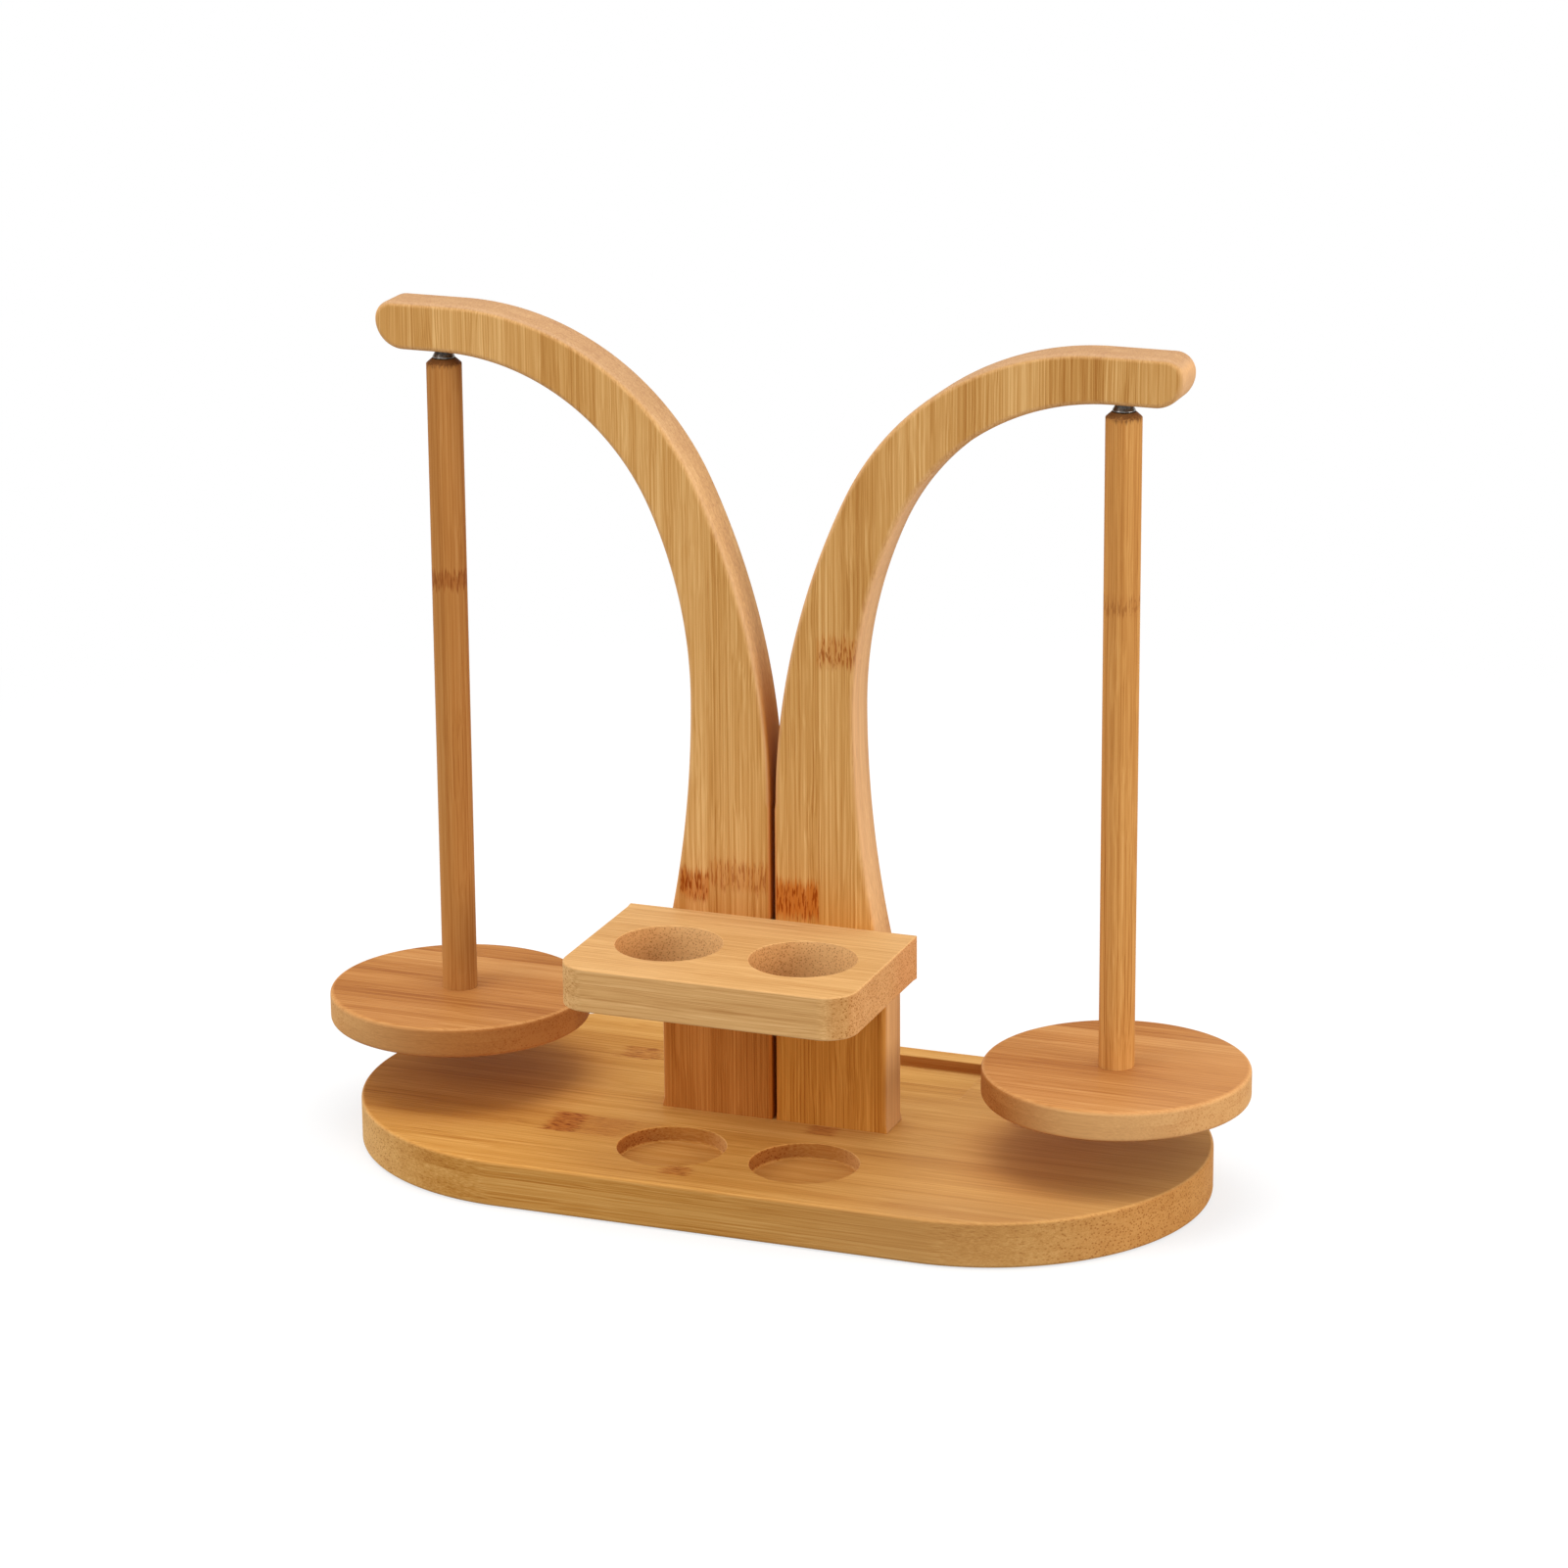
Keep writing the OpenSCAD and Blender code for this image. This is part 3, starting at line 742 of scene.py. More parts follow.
def cells(spot, scale=1.0):
    """The distance to the middle of the nearest of many cells."""
    return spot.node("ShaderNodeTexVoronoi", None, {"Vector": spot, "Scale": scale})


def axes_of(start):
    """The three axes of the object, in millimetres."""
    place = start.node("ShaderNodeTexCoord", out="Object")
    return [place.node("ShaderNodeSeparateXYZ", None, {0: place}, i) * 1000.0 for i in range(3)]


def slopes_of(start):
    """The way that a surface faces, as its parts along the object's axes, from -1 to 1."""
    normal = start.node("ShaderNodeTexCoord", out="Normal")
    return [normal.node("ShaderNodeSeparateXYZ", None, {0: normal}, i) for i in range(3)]


print("patterns:", [pattern.__name__ for pattern in (noise, lottery, cells)])

# %% An empty material, and its last nodes
def new_material(name):
    """An empty material with its shader: returns the material, its shader node and a wire to start from."""
    material = bpy.data.materials.new(name)
    material.use_nodes = True
    tree = material.node_tree
    return material, tree.nodes["Principled BSDF"], Wire(tree)


def finish_shader(material, shader, colour, roughness, height, depth):
    """Feeds a shader its colour, roughness and a bump of this depth in millimetres."""
    bump = height.node("ShaderNodeBump", None, {"Strength": 1.0, "Distance": depth * MM, "Height": height})
    for name, value in (("Base Color", colour), ("Roughness", roughness), ("Normal", bump)):
        material.node_tree.links.new(value.socket, shader.inputs[name])
    print(material.name, "nodes", len(material.node_tree.nodes))
    return material


print("materials so far:", len(bpy.data.materials))

# %% [markdown]
# Bamboo and its grain
#
# A bamboo board is pressed from slats, about as wide as a finger, in three layers. Each slat is a bundle of
# fibres that run its whole length, and each fibre is darker than the pith around it. A flat picture of
# stripes would smear on the round ends. So the pattern fills space: along the grain it hardly changes, and
# across the grain it changes within half a millimetre. A face cut along the fibres then shows streaks, and
# an end shows dots, with no extra work. First come the directions: along the grain, across it and through
# the board.

# %% Directions in a board
class Grain:
    """Where a point lies in a board, as wires, and whether its face is an end of the board or a sawn edge."""

    ORDER = {"along_x": (0, 1, 2), "upright": (2, 0, 1)}

    def __init__(self, start, direction):
        self.axes, self.slopes = axes_of(start), slopes_of(start)
        lengthwise, crosswise, _ = self.ORDER[direction]
        self.along, self.across, self.through = (self.axes[i] for i in self.ORDER[direction])
        self.end = abs(self.slopes[lengthwise]).step(0.25, 0.9)
        self.edge = abs(self.slopes[crosswise]).step(0.55, 0.95)


print("grain can run", sorted(Grain.ORDER))

# %% [markdown]
# Slats and layers
#
# Slats could be separate meshes, but their joints are too fine to show as shapes. So every slat takes its
# own tone and its own place in the pattern, from a random number that its position gives. Every layer has a
# tone too, which shows on sawn edges. Where two of them meet, there is a thin line of glue.

# %% Slats and layers
SEAM, GLUE = (0.485, 0.5), (0.45, 0.49)


def slats(grain, slat, layer, seed):
    """A random number for each slat and for each layer, and the lines where two slats or two layers meet.

    slat and layer are pairs of width and offset. The number of a slat is (across + offset) / width, rounded
    down, and a seam is where the part that was cut off is close to 0 or 1. Layers go by through.
    """
    slat_place = (grain.across + slat[1]) / slat[0]
    layer_place = (grain.through + layer[1]) / layer[0]
    slat_number, layer_number = slat_place.floor(), layer_place.floor()
    own = lottery(point(slat_number, layer_number, seed))
    ply = lottery(point(layer_number, seed, 0.0))
    seam = abs(slat_place - slat_number - 0.5).step(*SEAM)
    glue = abs(layer_place - layer_number - 0.5).step(*GLUE)
    return own, ply, seam, glue


print("a seam takes up", round(1 - 2 * SEAM[0], 3), "of a slat")

# %% [markdown]
# Fibres
#
# One noise alone looks like smoke. So four of different widths are drawn out along the grain: broad clouds,
# lines as wide as a pencil's, hairs, and streaks. A slow noise moves them a little sideways, because no
# fibre is quite straight. The bundles of fibres are cells that are drawn out in the same way. On an end
# they are the dots.

# %% Fibres and bundles
WAVER_SPAN, WAVER_SHIFT, SLAT_SHIFT = (0.03, 0.12), 1.5, 37.0
FIBRES = [(0.004, 0.1, 1.0, 0.55), (0.007, 1.5, 2.0, 0.55), (0.018, 3.0, 2.0, 0.6), (0.006, 0.5, 2.0, 0.55)]
BUNDLE_SPAN, BUNDLE = (0.01, 1.05), (0.42, 0.15)


def fibres(grain, own):
    """Four noises along the grain: clouds, lines, hairs and streaks.

    The place in a noise is along times its stretch plus the slat's own shift, and across and through, each
    moved by the waver, times its fineness.
    """
    along, across, through = grain.along, grain.across, grain.through
    waver = noise(point(along * WAVER_SPAN[0], across * WAVER_SPAN[1], through * WAVER_SPAN[1]), 1.0)
    shift, across, through = own * SLAT_SHIFT, across + waver * WAVER_SHIFT, through - waver * WAVER_SHIFT
    return [
        noise(point(along * stretch + shift, across * fineness, through * fineness), detail, rough)
        for stretch, fineness, detail, rough in FIBRES
    ]


def bundles_of(grain):
    """1 in the middle of a fibre bundle and 0 between bundles."""
    long_span, short_span = BUNDLE_SPAN
    spot = point(grain.along * long_span, grain.across * short_span, grain.through * short_span)
    return cells(spot).step(*BUNDLE)


print("widths of the four noises in mm:", [round(1 / row[1], 2) for row in FIBRES])

# %% [markdown]
# Knuckles
#
# Now and then a slat shows a knuckle of the cane, a band of short brown dashes in a warm glow. They could
# be strewn at random, but the large ones on the real boards catch the eye, so the bands are laid where they
# are wanted. A row of marks gives, for each, where it is along and across the grain, half its length and
# half its width, how strong its glow and its dashes are, and how deep it lies in the board.

# %% Knuckles
DASH_SPAN, DASH, RAGGED = (0.24, 1.5, 0.5), (0.49, 0.6), 10.0


def knuckles(colour, palette, marks, grain, lines):
    """Lays marks over a colour: each is 1 within its limits, with ragged ends, and the strongest counts."""
    places = (grain.along, grain.across, grain.through)
    dashes = noise(point(*(place * span for place, span in zip(places, DASH_SPAN)))).step(*DASH)
    ragged = (lines - 0.5) * RAGGED
    glow = dark = grain.along * 0.0
    for at, beside, half_length, half_width, glow_share, dash_share, lowest, highest in marks:
        band = abs(grain.along - at + ragged).step(half_length * 1.3, half_length * 0.6)
        band = band * abs(grain.across - beside).step(half_width * 1.05, half_width * 0.92)
        band = band * grain.through.step(lowest - 0.5, lowest) * grain.through.step(highest + 0.5, highest)
        glow, dark = glow.larger(band * glow_share), dark.larger(band * dash_share)
    colour = blend_colours(glow, colour, palette["glow"])
    return blend_colours(dark * dashes, colour, palette["knuckle"])


print("a dash is about", round(1 / DASH_SPAN[0], 1), "mm long")

# %% [markdown]
# The bamboo as a whole
#
# All of this adds up to one value, and a ramp of four colours, from the darkest fibre to the palest pith,
# turns it into wood. Then come the knuckles, the rounded edges, paler partly from sanding and partly as a
# painted highlight, and each board's own tones, painted shade, light and sheen among them. The lacquer is
# thin and dull, so the sheen is low, and the fibres stand out by a hair.

# %% The bamboo material
RAMP_PLACES = (0.22, 0.42, 0.56, 0.78)
HAIR_SHARE, END_CALM, SEAM_SHARE, BUNDLE_SHARE, GLUE_SHARE, TINT_SHARE = 0.6, 0.75, 0.2, 0.04, 0.6, 0.55
SHEEN, RELIEF = 0.02, 0.07


def ramp(*colours):
    """Stops of a board's colour ramp, from four screen colours."""
    return [(place, linear(*colour)) for place, colour in zip(RAMP_PLACES, colours)]


def bamboo(name, direction, palette, slat, layer, seed, marks=(), tone=0.2, lines=0.4, clouds=0.4,
           streaks=0.15, end_tone=0.0, dots=0.09, plies=0.1, tint=None, oil=None):
    """Pressed bamboo with its grain in one direction.

    The value is 0.5 plus the four noises, each less 0.5 and times its share, plus the tone of the slat,
    less its seams and bundles. Ends add a tone and stronger dots, and sawn faces add the tones of the
    layers, less the glue.
    """
    material, shader, start = new_material(name)
    grain = Grain(start, direction)
    own, ply, seam, glue = slats(grain, slat, layer, seed)
    cloud, line, hair, streak = fibres(grain, own)
    bundles = bundles_of(grain)
    value = 0.5 + (cloud - 0.5) * clouds + (line - 0.5) * lines + (hair - 0.5) * HAIR_SHARE
    value = value + (own - 0.5) * tone * (1 - grain.end * END_CALM) - seam * tone * SEAM_SHARE
    value = value + (streak - 0.5) * streaks + grain.end * end_tone
    value = value - bundles * (BUNDLE_SHARE + grain.end * dots)
    value = value + grain.end.larger(grain.edge) * ((ply - 0.5) * plies - glue * plies * GLUE_SHARE)
    colour = value.node("ShaderNodeValToRGB", {"stops": palette["ramp"]}, {0: value})
    if tint:
        colour = blend_colours(grain.edge * TINT_SHARE, colour, tint)
    if marks:
        colour = knuckles(colour, palette, marks, grain, line)
    eased = start.node("ShaderNodeAttribute", {"attribute_name": "eased"}, None, "Fac")
    # The rounded edges are paler, partly from sanding and partly as a painted highlight.
    colour = blend_colours(eased * (0.2 + line * 0.3), colour, palette["edge"])
    # Each board's own tones, among them painted shade, light and sheen.
    if oil:
        colour = oil(colour, grain, line)
    roughness = 0.5 + (line - 0.5) * 0.18 + grain.end * 0.08 - eased * 0.05
    height = hair * 0.5 + line * 0.3 - bundles * 0.35
    shader.inputs["Specular IOR Level"].default_value = SHEEN
    return finish_shader(material, shader, colour, roughness, height, RELIEF)


finishes = {}
print("a ramp's four colours stand at", RAMP_PLACES)

# %% [markdown]
# The finish of the base
#
# The base is a caramel board with its grain lengthwise. Its right half is paler. Painted shade darkens its
# long edges and right end and reddens the wood under the plates, the walls of the wells and the tray and
# the wells' floors, and painted light pales its left end. A picture could be painted for this, but tones
# that follow the board's own places and slopes need none, and hold on all sides.

# %% The base's bamboo
CARAMEL = {
    "ramp": ramp((164, 101, 40), (193, 135, 63), (207, 152, 80), (228, 178, 107)),
    "glow": linear(170, 92, 34), "knuckle": linear(124, 56, 14), "edge": linear(216, 158, 90),
}
# The pale end colour is painted light, and the wall brown is painted shade.
PALE_HALF, LEFT_END_LIGHT, RECESS_SHADE_BROWN = linear(203, 160, 110), linear(226, 184, 130), linear(166, 94, 40)
# The dyes for under the plates, the long edges, the right end and the wells' left walls are painted shade.
PLATE_SHADE_DYE, LONG_EDGE_SHADE, RIGHT_END_SHADE = (0.93, 0.74, 0.6), (0.84, 0.82, 0.8), (0.82, 0.68, 0.56)
FRONT_RIGHT, LEFT_WALL_SHADE = (0.85, 0.84, 0.88), (0.72, 0.62, 0.55)
SHADE_RIM, SHADE_MIDDLE = 62.0, 8.0
TOP = (5.0, 20.0)
BASE_MARKS = [
    (-66.0, -33.0, 6.0, 9.0, 0.7, 0.95, *TOP), (-56.0, -33.0, 13.0, 9.0, 0.25, 0.3, *TOP),
    (-67.0, 38.5, 7.0, 6.0, 0.3, 0.6, *TOP), (-14.0, -62.5, 5.0, 4.0, 0.45, 0.6, *TOP),
    (19.3, -12.0, 5.0, 4.0, 0.5, 0.5, *TOP), (84.0, 20.0, 7.0, 7.0, 0.3, 0.4, *TOP),
]


def routed(colour, x, y, z, slope_x):
    """Painted shade: redder tray and well walls, redder well floors, and browner left walls in the wells."""
    inside = abs(x).step(62.0, 60.0) * abs(y).step(72.0, 70.0) * z.step(BASE_TOP - 0.1, BASE_TOP - 0.8)
    well_floor, tray_floor = BASE_TOP - WELL_DEPTH, BASE_TOP - TRAY_DEPTH
    well_wall = y.step(0.0, -2.0) * z.step(well_floor + 0.1, well_floor + 1.0)
    well = y.step(0.0, -2.0) * z.step(5.0, 6.0) * 0.2 + well_wall * 0.15
    tray_wall = y.step(2.0, 4.0) * z.step(tray_floor + 0.1, tray_floor + 1.0)
    # Painted shade in the wells, on their floors too, and on the tray's walls.
    colour = blend_colours(inside * (well + tray_wall * 0.5), colour, RECESS_SHADE_BROWN)
    # Painted shade on the wells' left walls.
    return stain(inside * well_wall * slope_x.step(0.0, 0.9), colour, LEFT_WALL_SHADE)


def base_tones_and_shade(colour, grain, line):
    """Paler to the right; painted shade under the plates, on the long edges and the right end."""
    x, y, z = grain.axes
    slope_x, slope_y, slope_z = grain.slopes
    level = slope_z.step(0.5, 0.9)
    off_axis = abs(x) - SPINDLE_X
    shade_under_plate = (off_axis * off_axis + y * y).step(SHADE_RIM ** 2, SHADE_MIDDLE ** 2) * level
    colour = blend_colours(x.step(-10.0, 90.0) * 0.3, colour, PALE_HALF)
    colour = stain(x.step(40.0, 75.0) * y.step(-45.0, -66.0) * level, colour, FRONT_RIGHT)
    # Painted shade: the wood under each plate is darker and redder, less so at the far right.
    colour = stain(shade_under_plate * x.step(155.0, 95.0), colour, PLATE_SHADE_DYE)
    # Painted shade on the long edges, weaker on the left half.
    colour = stain(abs(slope_y).step(0.55, 0.95) * (1 - x.step(0.0, -60.0) * 0.4), colour, LONG_EDGE_SHADE)
    # Painted light on the left end.
    colour = blend_colours(slope_x.step(-0.2, -0.9) * 0.35, colour, LEFT_END_LIGHT)
    # Painted shade on the right end.
    colour = stain(slope_x.step(0.4, 0.9), colour, RIGHT_END_SHADE)
    return routed(colour, x, y, z, slope_x)


finishes["base_bamboo"] = bamboo(
    "base_bamboo", "along_x", CARAMEL, slat=(19.0, 4.0), layer=(5.4, 0.1), seed=3.7, marks=BASE_MARKS,
    tone=0.13, lines=0.38, clouds=0.3, streaks=0.22, end_tone=0.18, dots=0.52, oil=base_tones_and_shade,
)

# %% [markdown]
# The finish of the arms
#
# The arms are honey boards with upright grain and strong lines. Their hollow sides are pale, partly as a
# paler sawn face and partly as painted sheen, and their tops and the backs of their bends have painted sheen,
# the tops greyer. Painted shade browns the cleft and the gap between them and reddens their feet, the left
# one more.
# Which side is which is read from the way that a face looks, so no face has to be picked by hand.

# %% The arms' bamboo
HONEY = {
    "ramp": ramp((168, 110, 50), (194, 141, 76), (206, 155, 91), (227, 181, 118)),
    "glow": linear(188, 102, 26), "knuckle": linear(144, 64, 6), "edge": linear(222, 176, 128),
}
# The pale side colour is partly a paler sawn face, partly painted sheen; the bend colour is painted sheen.
PALE_SIDE_AND_SHEEN, BEND_AND_TOP_SHEEN = linear(239, 190, 143), linear(230, 187, 146)
# The cleft and gap browns here, and the feet's dyes below, are painted shade.
CLEFT_SHADE_BROWN, GAP_SHADE_BROWN = linear(184, 112, 36), linear(176, 94, 24)
LEFT_FOOT_SHADE, RIGHT_FOOT_SHADE, GREYER_TOP = (0.69, 0.45, 0.26), (0.91, 0.7, 0.38), (0.8, 0.82, 0.92)
FRONT, BACK = (-9.0, -2.5), (2.5, 9.0)
ARM_MARKS = [
    (183.5, 23.3, 5.0, 7.2, 0.25, 0.7, *FRONT), (96.0, 8.9, 6.5, 7.8, 0.75, 0.9, *FRONT),
    (97.5, -28.1, 5.0, 5.3, 0.55, 0.85, *FRONT), (102.0, -11.9, 5.0, 10.7, 0.25, 0.5, *FRONT),
    (150.0, 13.0, 5.0, 8.0, 0.3, 0.7, *BACK), (64.0, -20.0, 5.0, 9.0, 0.5, 0.8, *BACK),
    (220.0, -62.0, 5.0, 8.0, 0.2, 0.6, *BACK),
]


def arm_tones_sheen_and_shade(colour, grain, line):
    """Pales sides and bends with painted sheen, greys the tops, paints shade on the feet and in the cleft."""
    x, _, z = grain.axes
    slope_x, _, slope_z = grain.slopes
    outwards = slope_x * x / abs(x)
    foot, hollow_side, upwards = z.step(116.0, 66.0), outwards.step(0.5, 0.95), slope_z.step(0.35, 0.8)
    # Hollow sides: partly a paler sawn face, partly painted sheen.
    colour = blend_colours(hollow_side * (0.55 - foot * 0.2), colour, PALE_SIDE_AND_SHEEN)
    # Painted sheen on the backs of the bends and on the tops.
    colour = blend_colours(outwards.step(-0.35, -0.8).larger(upwards) * 0.35, colour, BEND_AND_TOP_SHEEN)
    # Greyer and darker on the tops.
    colour = stain(upwards, colour, GREYER_TOP)
    left, shaded_feet = x.step(1.0, -1.0), foot * (1 - hollow_side * 0.85)
    # Painted shade on the feet, below the shelf, the left one more.
    colour = stain(shaded_feet * left, colour, LEFT_FOOT_SHADE)
    colour = stain(shaded_feet * (1 - left), colour, RIGHT_FOOT_SHADE)
    # Painted shade in the cleft where the arms face each other.
    cleft = outwards.step(-0.5, -0.95) * abs(x).step(8.0, 1.5)
    colour = blend_colours(cleft * 0.8, colour, CLEFT_SHADE_BROWN)
    # Painted shade in the narrow gap between the two arms.
    inside = abs(x).step(2.2, 0.7) * z.step(165.0, 115.0)
    return blend_colours(inside * 0.8, colour, GAP_SHADE_BROWN)


finishes["arm_bamboo"] = bamboo(
    "arm_bamboo", "upright", HONEY, slat=(19.5, 2.6), layer=(5.05, 7.55), seed=21.1, marks=ARM_MARKS,
    tone=0.25, lines=0.8, clouds=0.35, streaks=0.05, end_tone=-0.02, dots=0.05, plies=0.24, oil=arm_tones_sheen_and_shade,
)

# %% [markdown]
# The finish of the shelf
#
# The shelf is the palest board, the colour of wheat. The drill laid bare fresh wood in its holes, dotted
# with cut fibres, and painted shade browns their left walls. Its ends are redder, and darker towards the
# back. The holes could have a material of their own, but then the grain would break at their rims. Here one
# material finds the holes by their place.

# %% The shelf's bamboo
WHEAT = {
    "ramp": ramp((168, 114, 61), (198, 150, 93), (213, 166, 108), (231, 189, 133)),
    "edge": linear(222, 170, 112),
}
FRESH, CUT_FIBRE = linear(240, 194, 134), linear(150, 92, 44)
# The holes' left-wall dye is painted shade.
SHELF_END, RIGHT_CORNER, HOLE_LEFT_SHADE = (0.93, 0.76, 0.7), (0.86, 0.76, 0.66), (0.86, 0.74, 0.64)


def shelf_tones_and_shade(colour, grain, line):
    """Stains the ends and right front corner, lightens and dots the holes, paints shade on their left walls.
    """
    x, y, z = grain.axes
    slope_x, _, slope_z = grain.slopes
    reach, end_x = HOLE_D / 2 + HOLE_EASE, SHELF_WIDTH / 2
    inside = abs(abs(x) - WELL_X).step(reach + 0.3, reach) * abs(y - WELL_Y).step(reach + 0.3, reach)
    inside = inside * z.step(SHELF_TOP, SHELF_TOP - 0.8) * z.step(SHELF_UNDER, SHELF_UNDER + 0.8)
    ends = abs(slope_x).step(0.7, 0.98) * abs(x).step(end_x - 2.0, end_x - 1.0)
    # Redder ends, darker towards the back.
    colour = stain(ends * (0.6 + y.step(-40.0, -8.0) * 0.7), colour, SHELF_END)
    corner = slope_x.step(0.25, 0.6) * slope_x.step(1.0, 0.85) * abs(slope_z).step(0.6, 0.2)
    colour = stain(corner * (1 - inside), colour, RIGHT_CORNER)
    dots = cells(point(x, y, z), 1.3).step(0.48, 0.15)
    colour = blend_colours(inside * 0.55, colour, FRESH)
    colour = blend_colours(inside * dots * (0.2 + line * 0.7), colour, CUT_FIBRE)
    # Painted shade on the holes' left walls.
    return stain(inside * slope_x.step(-0.1, 0.8), colour, HOLE_LEFT_SHADE)


finishes["shelf_bamboo"] = bamboo(
    "shelf_bamboo", "along_x", WHEAT, slat=(20.0, 7.0), layer=(5.05, 2.8), seed=3.7,
    tone=0.06, lines=0.35, clouds=0.2, streaks=0.2, end_tone=0.06, dots=0.3, plies=0.0, oil=shelf_tones_and_shade,
)

# %% [markdown]
# The finish of the rods
#
# A rod is turned from one stick of russet cane, so it has no slats: its slat is wider than the rod. The
# lathe tool rubbed the bevel on its top brown. The left rod comes from a browner cane, and each rod shows
# one knuckle. It can hardly be felt on a real rod, so it is colour and no shape.

# %% The rods' bamboo
RUSSET = {
    "ramp": ramp((155, 94, 42), (192, 131, 67), (207, 148, 81), (224, 168, 102)),
    "glow": linear(160, 84, 34), "knuckle": linear(122, 58, 20), "edge": linear(210, 150, 88),
}
BROWN_CANE, BURNT = linear(150, 90, 42), linear(92, 50, 26)
ALL_ROUND = (-9.0, 9.0)
ROD_MARKS = [
    (194.8, -SPINDLE_X, 3.0, 9.0, 0.55, 0.7, *ALL_ROUND),
    (207.4, SPINDLE_X, 3.5, 9.0, 0.08, 0.35, *ALL_ROUND),
]


def rod_oil(colour, grain, line):
    """Browns the left rod, and burns the bevel on top with a ragged lower limit."""
    x, _, z = grain.axes
    top = (z + (line - 0.5) * 5.0).step(ROD_TOP - 3.0, ROD_TOP - 0.8)
    colour = blend_colours(x.step(10.0, -10.0) * 0.45, colour, BROWN_CANE)
    return blend_colours(top * 0.75, colour, BURNT)


finishes["rod_bamboo"] = bamboo(
    "rod_bamboo", "upright", RUSSET, slat=(60.0, 0.0), layer=(60.0, 30.0), seed=3.7, marks=ROD_MARKS,
    tone=0.06, lines=0.45, streaks=0.55, oil=rod_oil,
)

# %% [markdown]
# The finish of the plates
#
# The plates are sawn from the same kind of board as the base, so they share its bamboo, with amber colours
# and a paler rim. They are darker and redder underneath, painted shade darkens one side of each rim, and the
# right plate is paler on its right half.

# %% The plates' bamboo
AMBER = {
    "ramp": ramp((146, 83, 38), (178, 117, 60), (192, 132, 74), (214, 161, 101)),
    "edge": linear(222, 164, 104),
}
PALE_PLATE, PALE_RIM = linear(208, 160, 112), linear(216, 171, 114)
# The rim dye is painted shade.
UNDERSIDE, RIM_SHADE = (0.8, 0.55, 0.36), (0.64, 0.47, 0.33)


def plate_tones_and_shade(colour, grain, line):
    """Pales half of the right plate, reddens the undersides, and paints shade on one side of each rim."""
    x = grain.axes[0]
    slope_x, _, slope_z = grain.slopes
    on_right = x.step(-1.0, 1.0)
    colour = blend_colours(x.step(110.0, 155.0) * 0.2, colour, PALE_PLATE)
    # Darker and redder underneath.
    colour = stain(slope_z.step(-0.5, -0.95), colour, UNDERSIDE)
    # Painted shade: the left plate's rim on its right, the right plate's rim on its left.
    shaded_side = on_right * slope_x.step(0.0, -0.7) + (1 - on_right) * slope_x.step(-0.8, 0.5)
    return stain(abs(slope_z).step(0.8, 0.4) * shaded_side, colour, RIM_SHADE)


finishes["plate_bamboo"] = bamboo(
    "plate_bamboo", "along_x", AMBER, slat=(19.0, 8.0), layer=(5.3, -0.37), seed=3.7,
    tone=0.2, end_tone=0.3, dots=0.18, tint=PALE_RIM, oil=plate_tones_and_shade,
)

# %% [markdown]
# Metals
#
# The steel tips were turned, so fine rings run round them. The cups, magnets, bushes and screws are small
# bought parts, and their measured solids are good enough to show. They only need a finish: a little grain
# in the gloss and in the colour.

# %% The metal materials
RING_SPAN, RING_RELIEF, BLOTCH = 0.15, 0.02, (0.42, 0.68)


def metal(name, colour, worn, rough, ring_width):
    """Turned or plated metal: rings by height, blotches of wear, and a gloss that varies with both."""
    material, shader, start = new_material(name)
    x, y, z = axes_of(start)
    rings = noise(point(x * RING_SPAN, y * RING_SPAN, z / ring_width))
    blotches = noise(point(x, y, z), 4.0, scale=0.9)
    mixed = blend_colours(blotches.step(*BLOTCH), linear(*colour), linear(*worn))
    shader.inputs["Metallic"].default_value = 1.0
    roughness = rough + (rings - 0.5) * 0.2 + (blotches - 0.5) * 0.2
    return finish_shader(material, shader, mixed, roughness, rings, RING_RELIEF)


for name, colour, worn, rough, ring_width in (
    ("tip_steel", (138, 134, 130), (88, 84, 80), 0.3, 0.12),
    ("cup_steel", (170, 170, 170), (138, 136, 132), 0.38, 0.3),
    ("magnet", (150, 150, 154), (112, 112, 116), 0.3, 0.5),
    ("bush_brass", (206, 166, 92), (150, 112, 56), 0.32, 0.2),
    ("screw_steel", (188, 188, 186), (150, 148, 142), 0.35, 0.25),
):
    finishes[name] = metal(name, colour, worn, rough, ring_width)

# %% [markdown]
# Dressing the holder
#
# Every piece says which finish it takes, and so does every measured solid, in the record that came with it.
# The solids that are still seen, such as the screws, get theirs here too.

# %% Give every piece its finish
for piece in [o for o in bpy.data.objects if o.get("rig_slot") in finishes]:
    piece.data.materials.append(finishes[piece["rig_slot"]])
slot_of = {row["node"]: row["material_slot"] for row in frame["record"]["subparts"]}
for node, solid in frame["nodes"].items():
    solid.data.materials.clear()
    solid.data.materials.append(finishes[slot_of[node]])
print("finishes:", sorted(finishes))

# %% [markdown]
# The floor
#
# The holder stands on a pale floor that melts into a white background. The floor is a plain matt white. For
# what is seen directly, part of it is replaced by a glow of 1, which is white, and further out all of it.
# So the shadow stays, and the rest is clean. The light that bounces off it is kept low, as off a table.

# %% Make the floor
FLOOR_HALF, FLOOR_Z, FLOOR_BOUNCE, FLOOR_SEEN = 7.0, -0.0004, 0.3, 0.95
GLOW_NEAR, GLOW_FROM, GLOW_FULL = 0.7, 0.25, 0.7


def seen_directly(start):
    """1 for what the camera sees, straight or in a mirror or through glass, and 0 for light that bounces."""
    kinds = ("Camera", "Glossy", "Transmission")
    camera, glossy, through = (start.node("ShaderNodeLightPath", out=f"Is {kind} Ray") for kind in kinds)
    return camera.larger(glossy).larger(through)


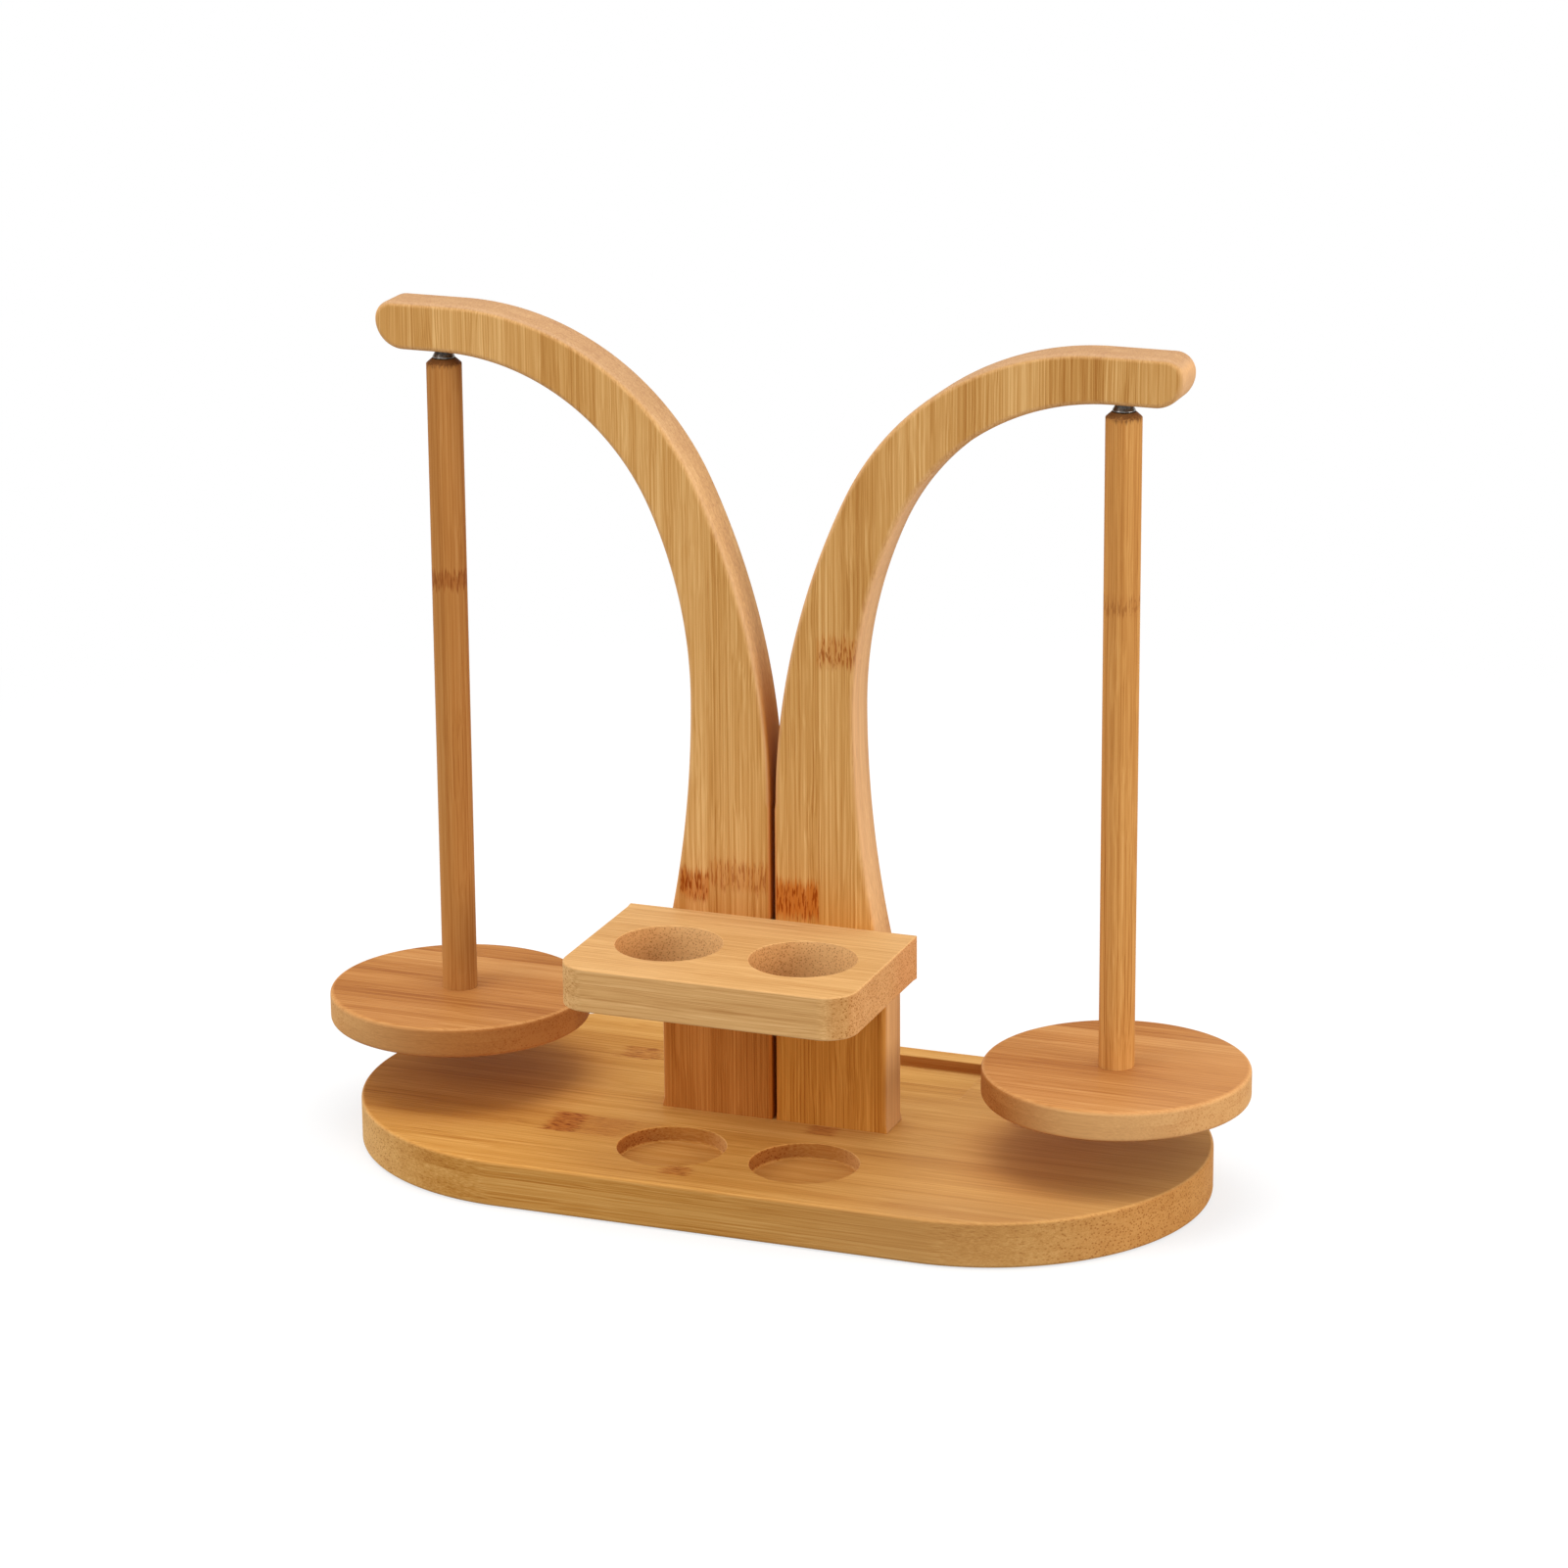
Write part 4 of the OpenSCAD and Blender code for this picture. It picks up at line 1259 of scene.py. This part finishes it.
def make_floor():
    """One flat square, just under the base, whose glow grows with the distance from the holder."""
    mesh = bpy.data.meshes.new("floor")
    corners = [(x * FLOOR_HALF, y * FLOOR_HALF, FLOOR_Z) for x, y in ((-1, -1), (1, -1), (1, 1), (-1, 1))]
    mesh.from_pydata(corners, [], [(0, 1, 2, 3)])
    floor = bpy.data.objects.new("floor", mesh)
    bpy.context.scene.collection.objects.link(floor)
    material, shader, start = new_material("floor_white")
    shader.inputs["Roughness"].default_value = 0.9
    shader.inputs["Specular IOR Level"].default_value = 0.0
    seen = seen_directly(start)
    pale = blend_colours(seen, (*[FLOOR_BOUNCE] * 3, 1), (*[FLOOR_SEEN] * 3, 1))
    start.tree.links.new(pale.socket, shader.inputs["Base Color"])
    glow = start.node("ShaderNodeEmission", None, {"Color": (1, 1, 1, 1), "Strength": 1.0})
    plain = Wire(start.tree, shader.outputs[0])
    place = start.node("ShaderNodeTexCoord", out="Object")
    distance = start.node("ShaderNodeVectorMath", {"operation": "LENGTH"}, {0: place}, "Value")
    share = seen * (GLOW_NEAR + distance.step(GLOW_FROM, GLOW_FULL) * (1 - GLOW_NEAR))
    both = start.node("ShaderNodeMixShader", None, {0: share, 1: plain, 2: glow})
    start.tree.links.new(both.socket, start.tree.nodes["Material Output"].inputs["Surface"])
    mesh.materials.append(material)
    return floor


floor = make_floor()
print("floor", 2 * FLOOR_HALF, "m wide, at z", FLOOR_Z)

# %% [markdown]
# The sky
#
# Much of the light comes from a white sky. A picture of a studio could light the holder too, but a sky that
# is worked out from the height of a ray is smooth and needs no file. Where it is seen or mirrored, it is
# plain white. As a light, it is strongest overhead and weaker towards the horizon, as in a room, so that
# tops are brighter than sides and the wood under the plates and the shelf lies in soft shade.

# %% Make the sky
HORIZON_LIGHT, ZENITH_LIGHT = 0.42, 1.17


def make_sky():
    """A white sky. As a light, it is the horizon's strength plus the rest times the height of a ray."""
    world = bpy.data.worlds.new("white_sky")
    world.use_nodes = True
    bpy.context.scene.world = world
    start = Wire(world.node_tree)
    seen = seen_directly(start)
    background = world.node_tree.nodes["Background"]
    background.inputs["Color"].default_value = (1, 1, 1, 1)
    direction = start.node("ShaderNodeTexCoord", out="Generated")
    height = start.node("ShaderNodeSeparateXYZ", None, {0: direction}, 2).larger(0.0)
    light = HORIZON_LIGHT + height * (ZENITH_LIGHT - HORIZON_LIGHT)
    world.node_tree.links.new((light + seen * (1 - light)).socket, background.inputs["Strength"])


make_sky()
print("sky from", HORIZON_LIGHT, "to", ZENITH_LIGHT)

# %% [markdown]
# The lamps
#
# Three wide lamps add shape to the sky's light: one above, the strongest from the right, which lights the
# hollow side of the right arm, and one from the front left, for the fronts of the boards. Wide lamps give
# soft shadows.

# %% Lamps
def lamp(name, place, aim, size, watts):
    """A square soft lamp at a place in metres, turned to look at aim."""
    light = bpy.data.lights.new(name, "AREA")
    light.shape, light.size, light.energy = "SQUARE", size, watts
    made = bpy.data.objects.new(name, light)
    bpy.context.scene.collection.objects.link(made)
    made.location = place
    made.rotation_euler = (Vector(aim) - Vector(place)).to_track_quat("-Z", "Y").to_euler()
    print(name, "lamp:", watts, "W,", round((Vector(aim) - Vector(place)).length, 2), "m away")


lamp("overhead", (0.0, -0.1, 1.6), (0, 0, 0.1), 0.9, 8.0)
lamp("right", (2.0, -0.4, 0.45), (0, 0, 0.14), 0.8, 20.5)
lamp("front", (-1.3, -1.5, 0.7), (0, 0, 0.14), 1.2, 14.0)

# %% [markdown]
# The camera
#
# The camera stands a little to the right and above, with a long lens, and leans by less than half a degree.
# Its place was fitted to the edges of the boards. Three unit directions, to the right, up and backwards,
# are the columns of its matrix.

# %% Camera
EYE = np.array([0.6198, -1.63508, 0.68063])
TARGET = np.array([0.001658, 0.0, 0.133621])
ROLL = np.radians(-0.425)
forward = (TARGET - EYE) / np.linalg.norm(TARGET - EYE)
right = np.cross(forward, [0, 0, 1])
right /= np.linalg.norm(right)
up = np.cross(right, forward)
camera_x = right * np.cos(ROLL) + up * np.sin(ROLL)
camera_y = up * np.cos(ROLL) - right * np.sin(ROLL)
lens = bpy.data.cameras.new("camera")
lens.sensor_fit, lens.sensor_width, lens.lens = "HORIZONTAL", 36.0, 125.57
camera = bpy.data.objects.new("camera", lens)
bpy.context.scene.collection.objects.link(camera)
turn = np.eye(4)
turn[:3] = np.stack([camera_x, camera_y, -forward, EYE], 1)
camera.matrix_world = Matrix(turn.tolist())
bpy.context.scene.camera = camera
bpy.context.scene.view_settings.view_transform = "Standard"
print("camera", round(float(np.linalg.norm(TARGET - EYE)), 3), "m away, lens", round(lens.lens, 2), "mm")

# %% [markdown]
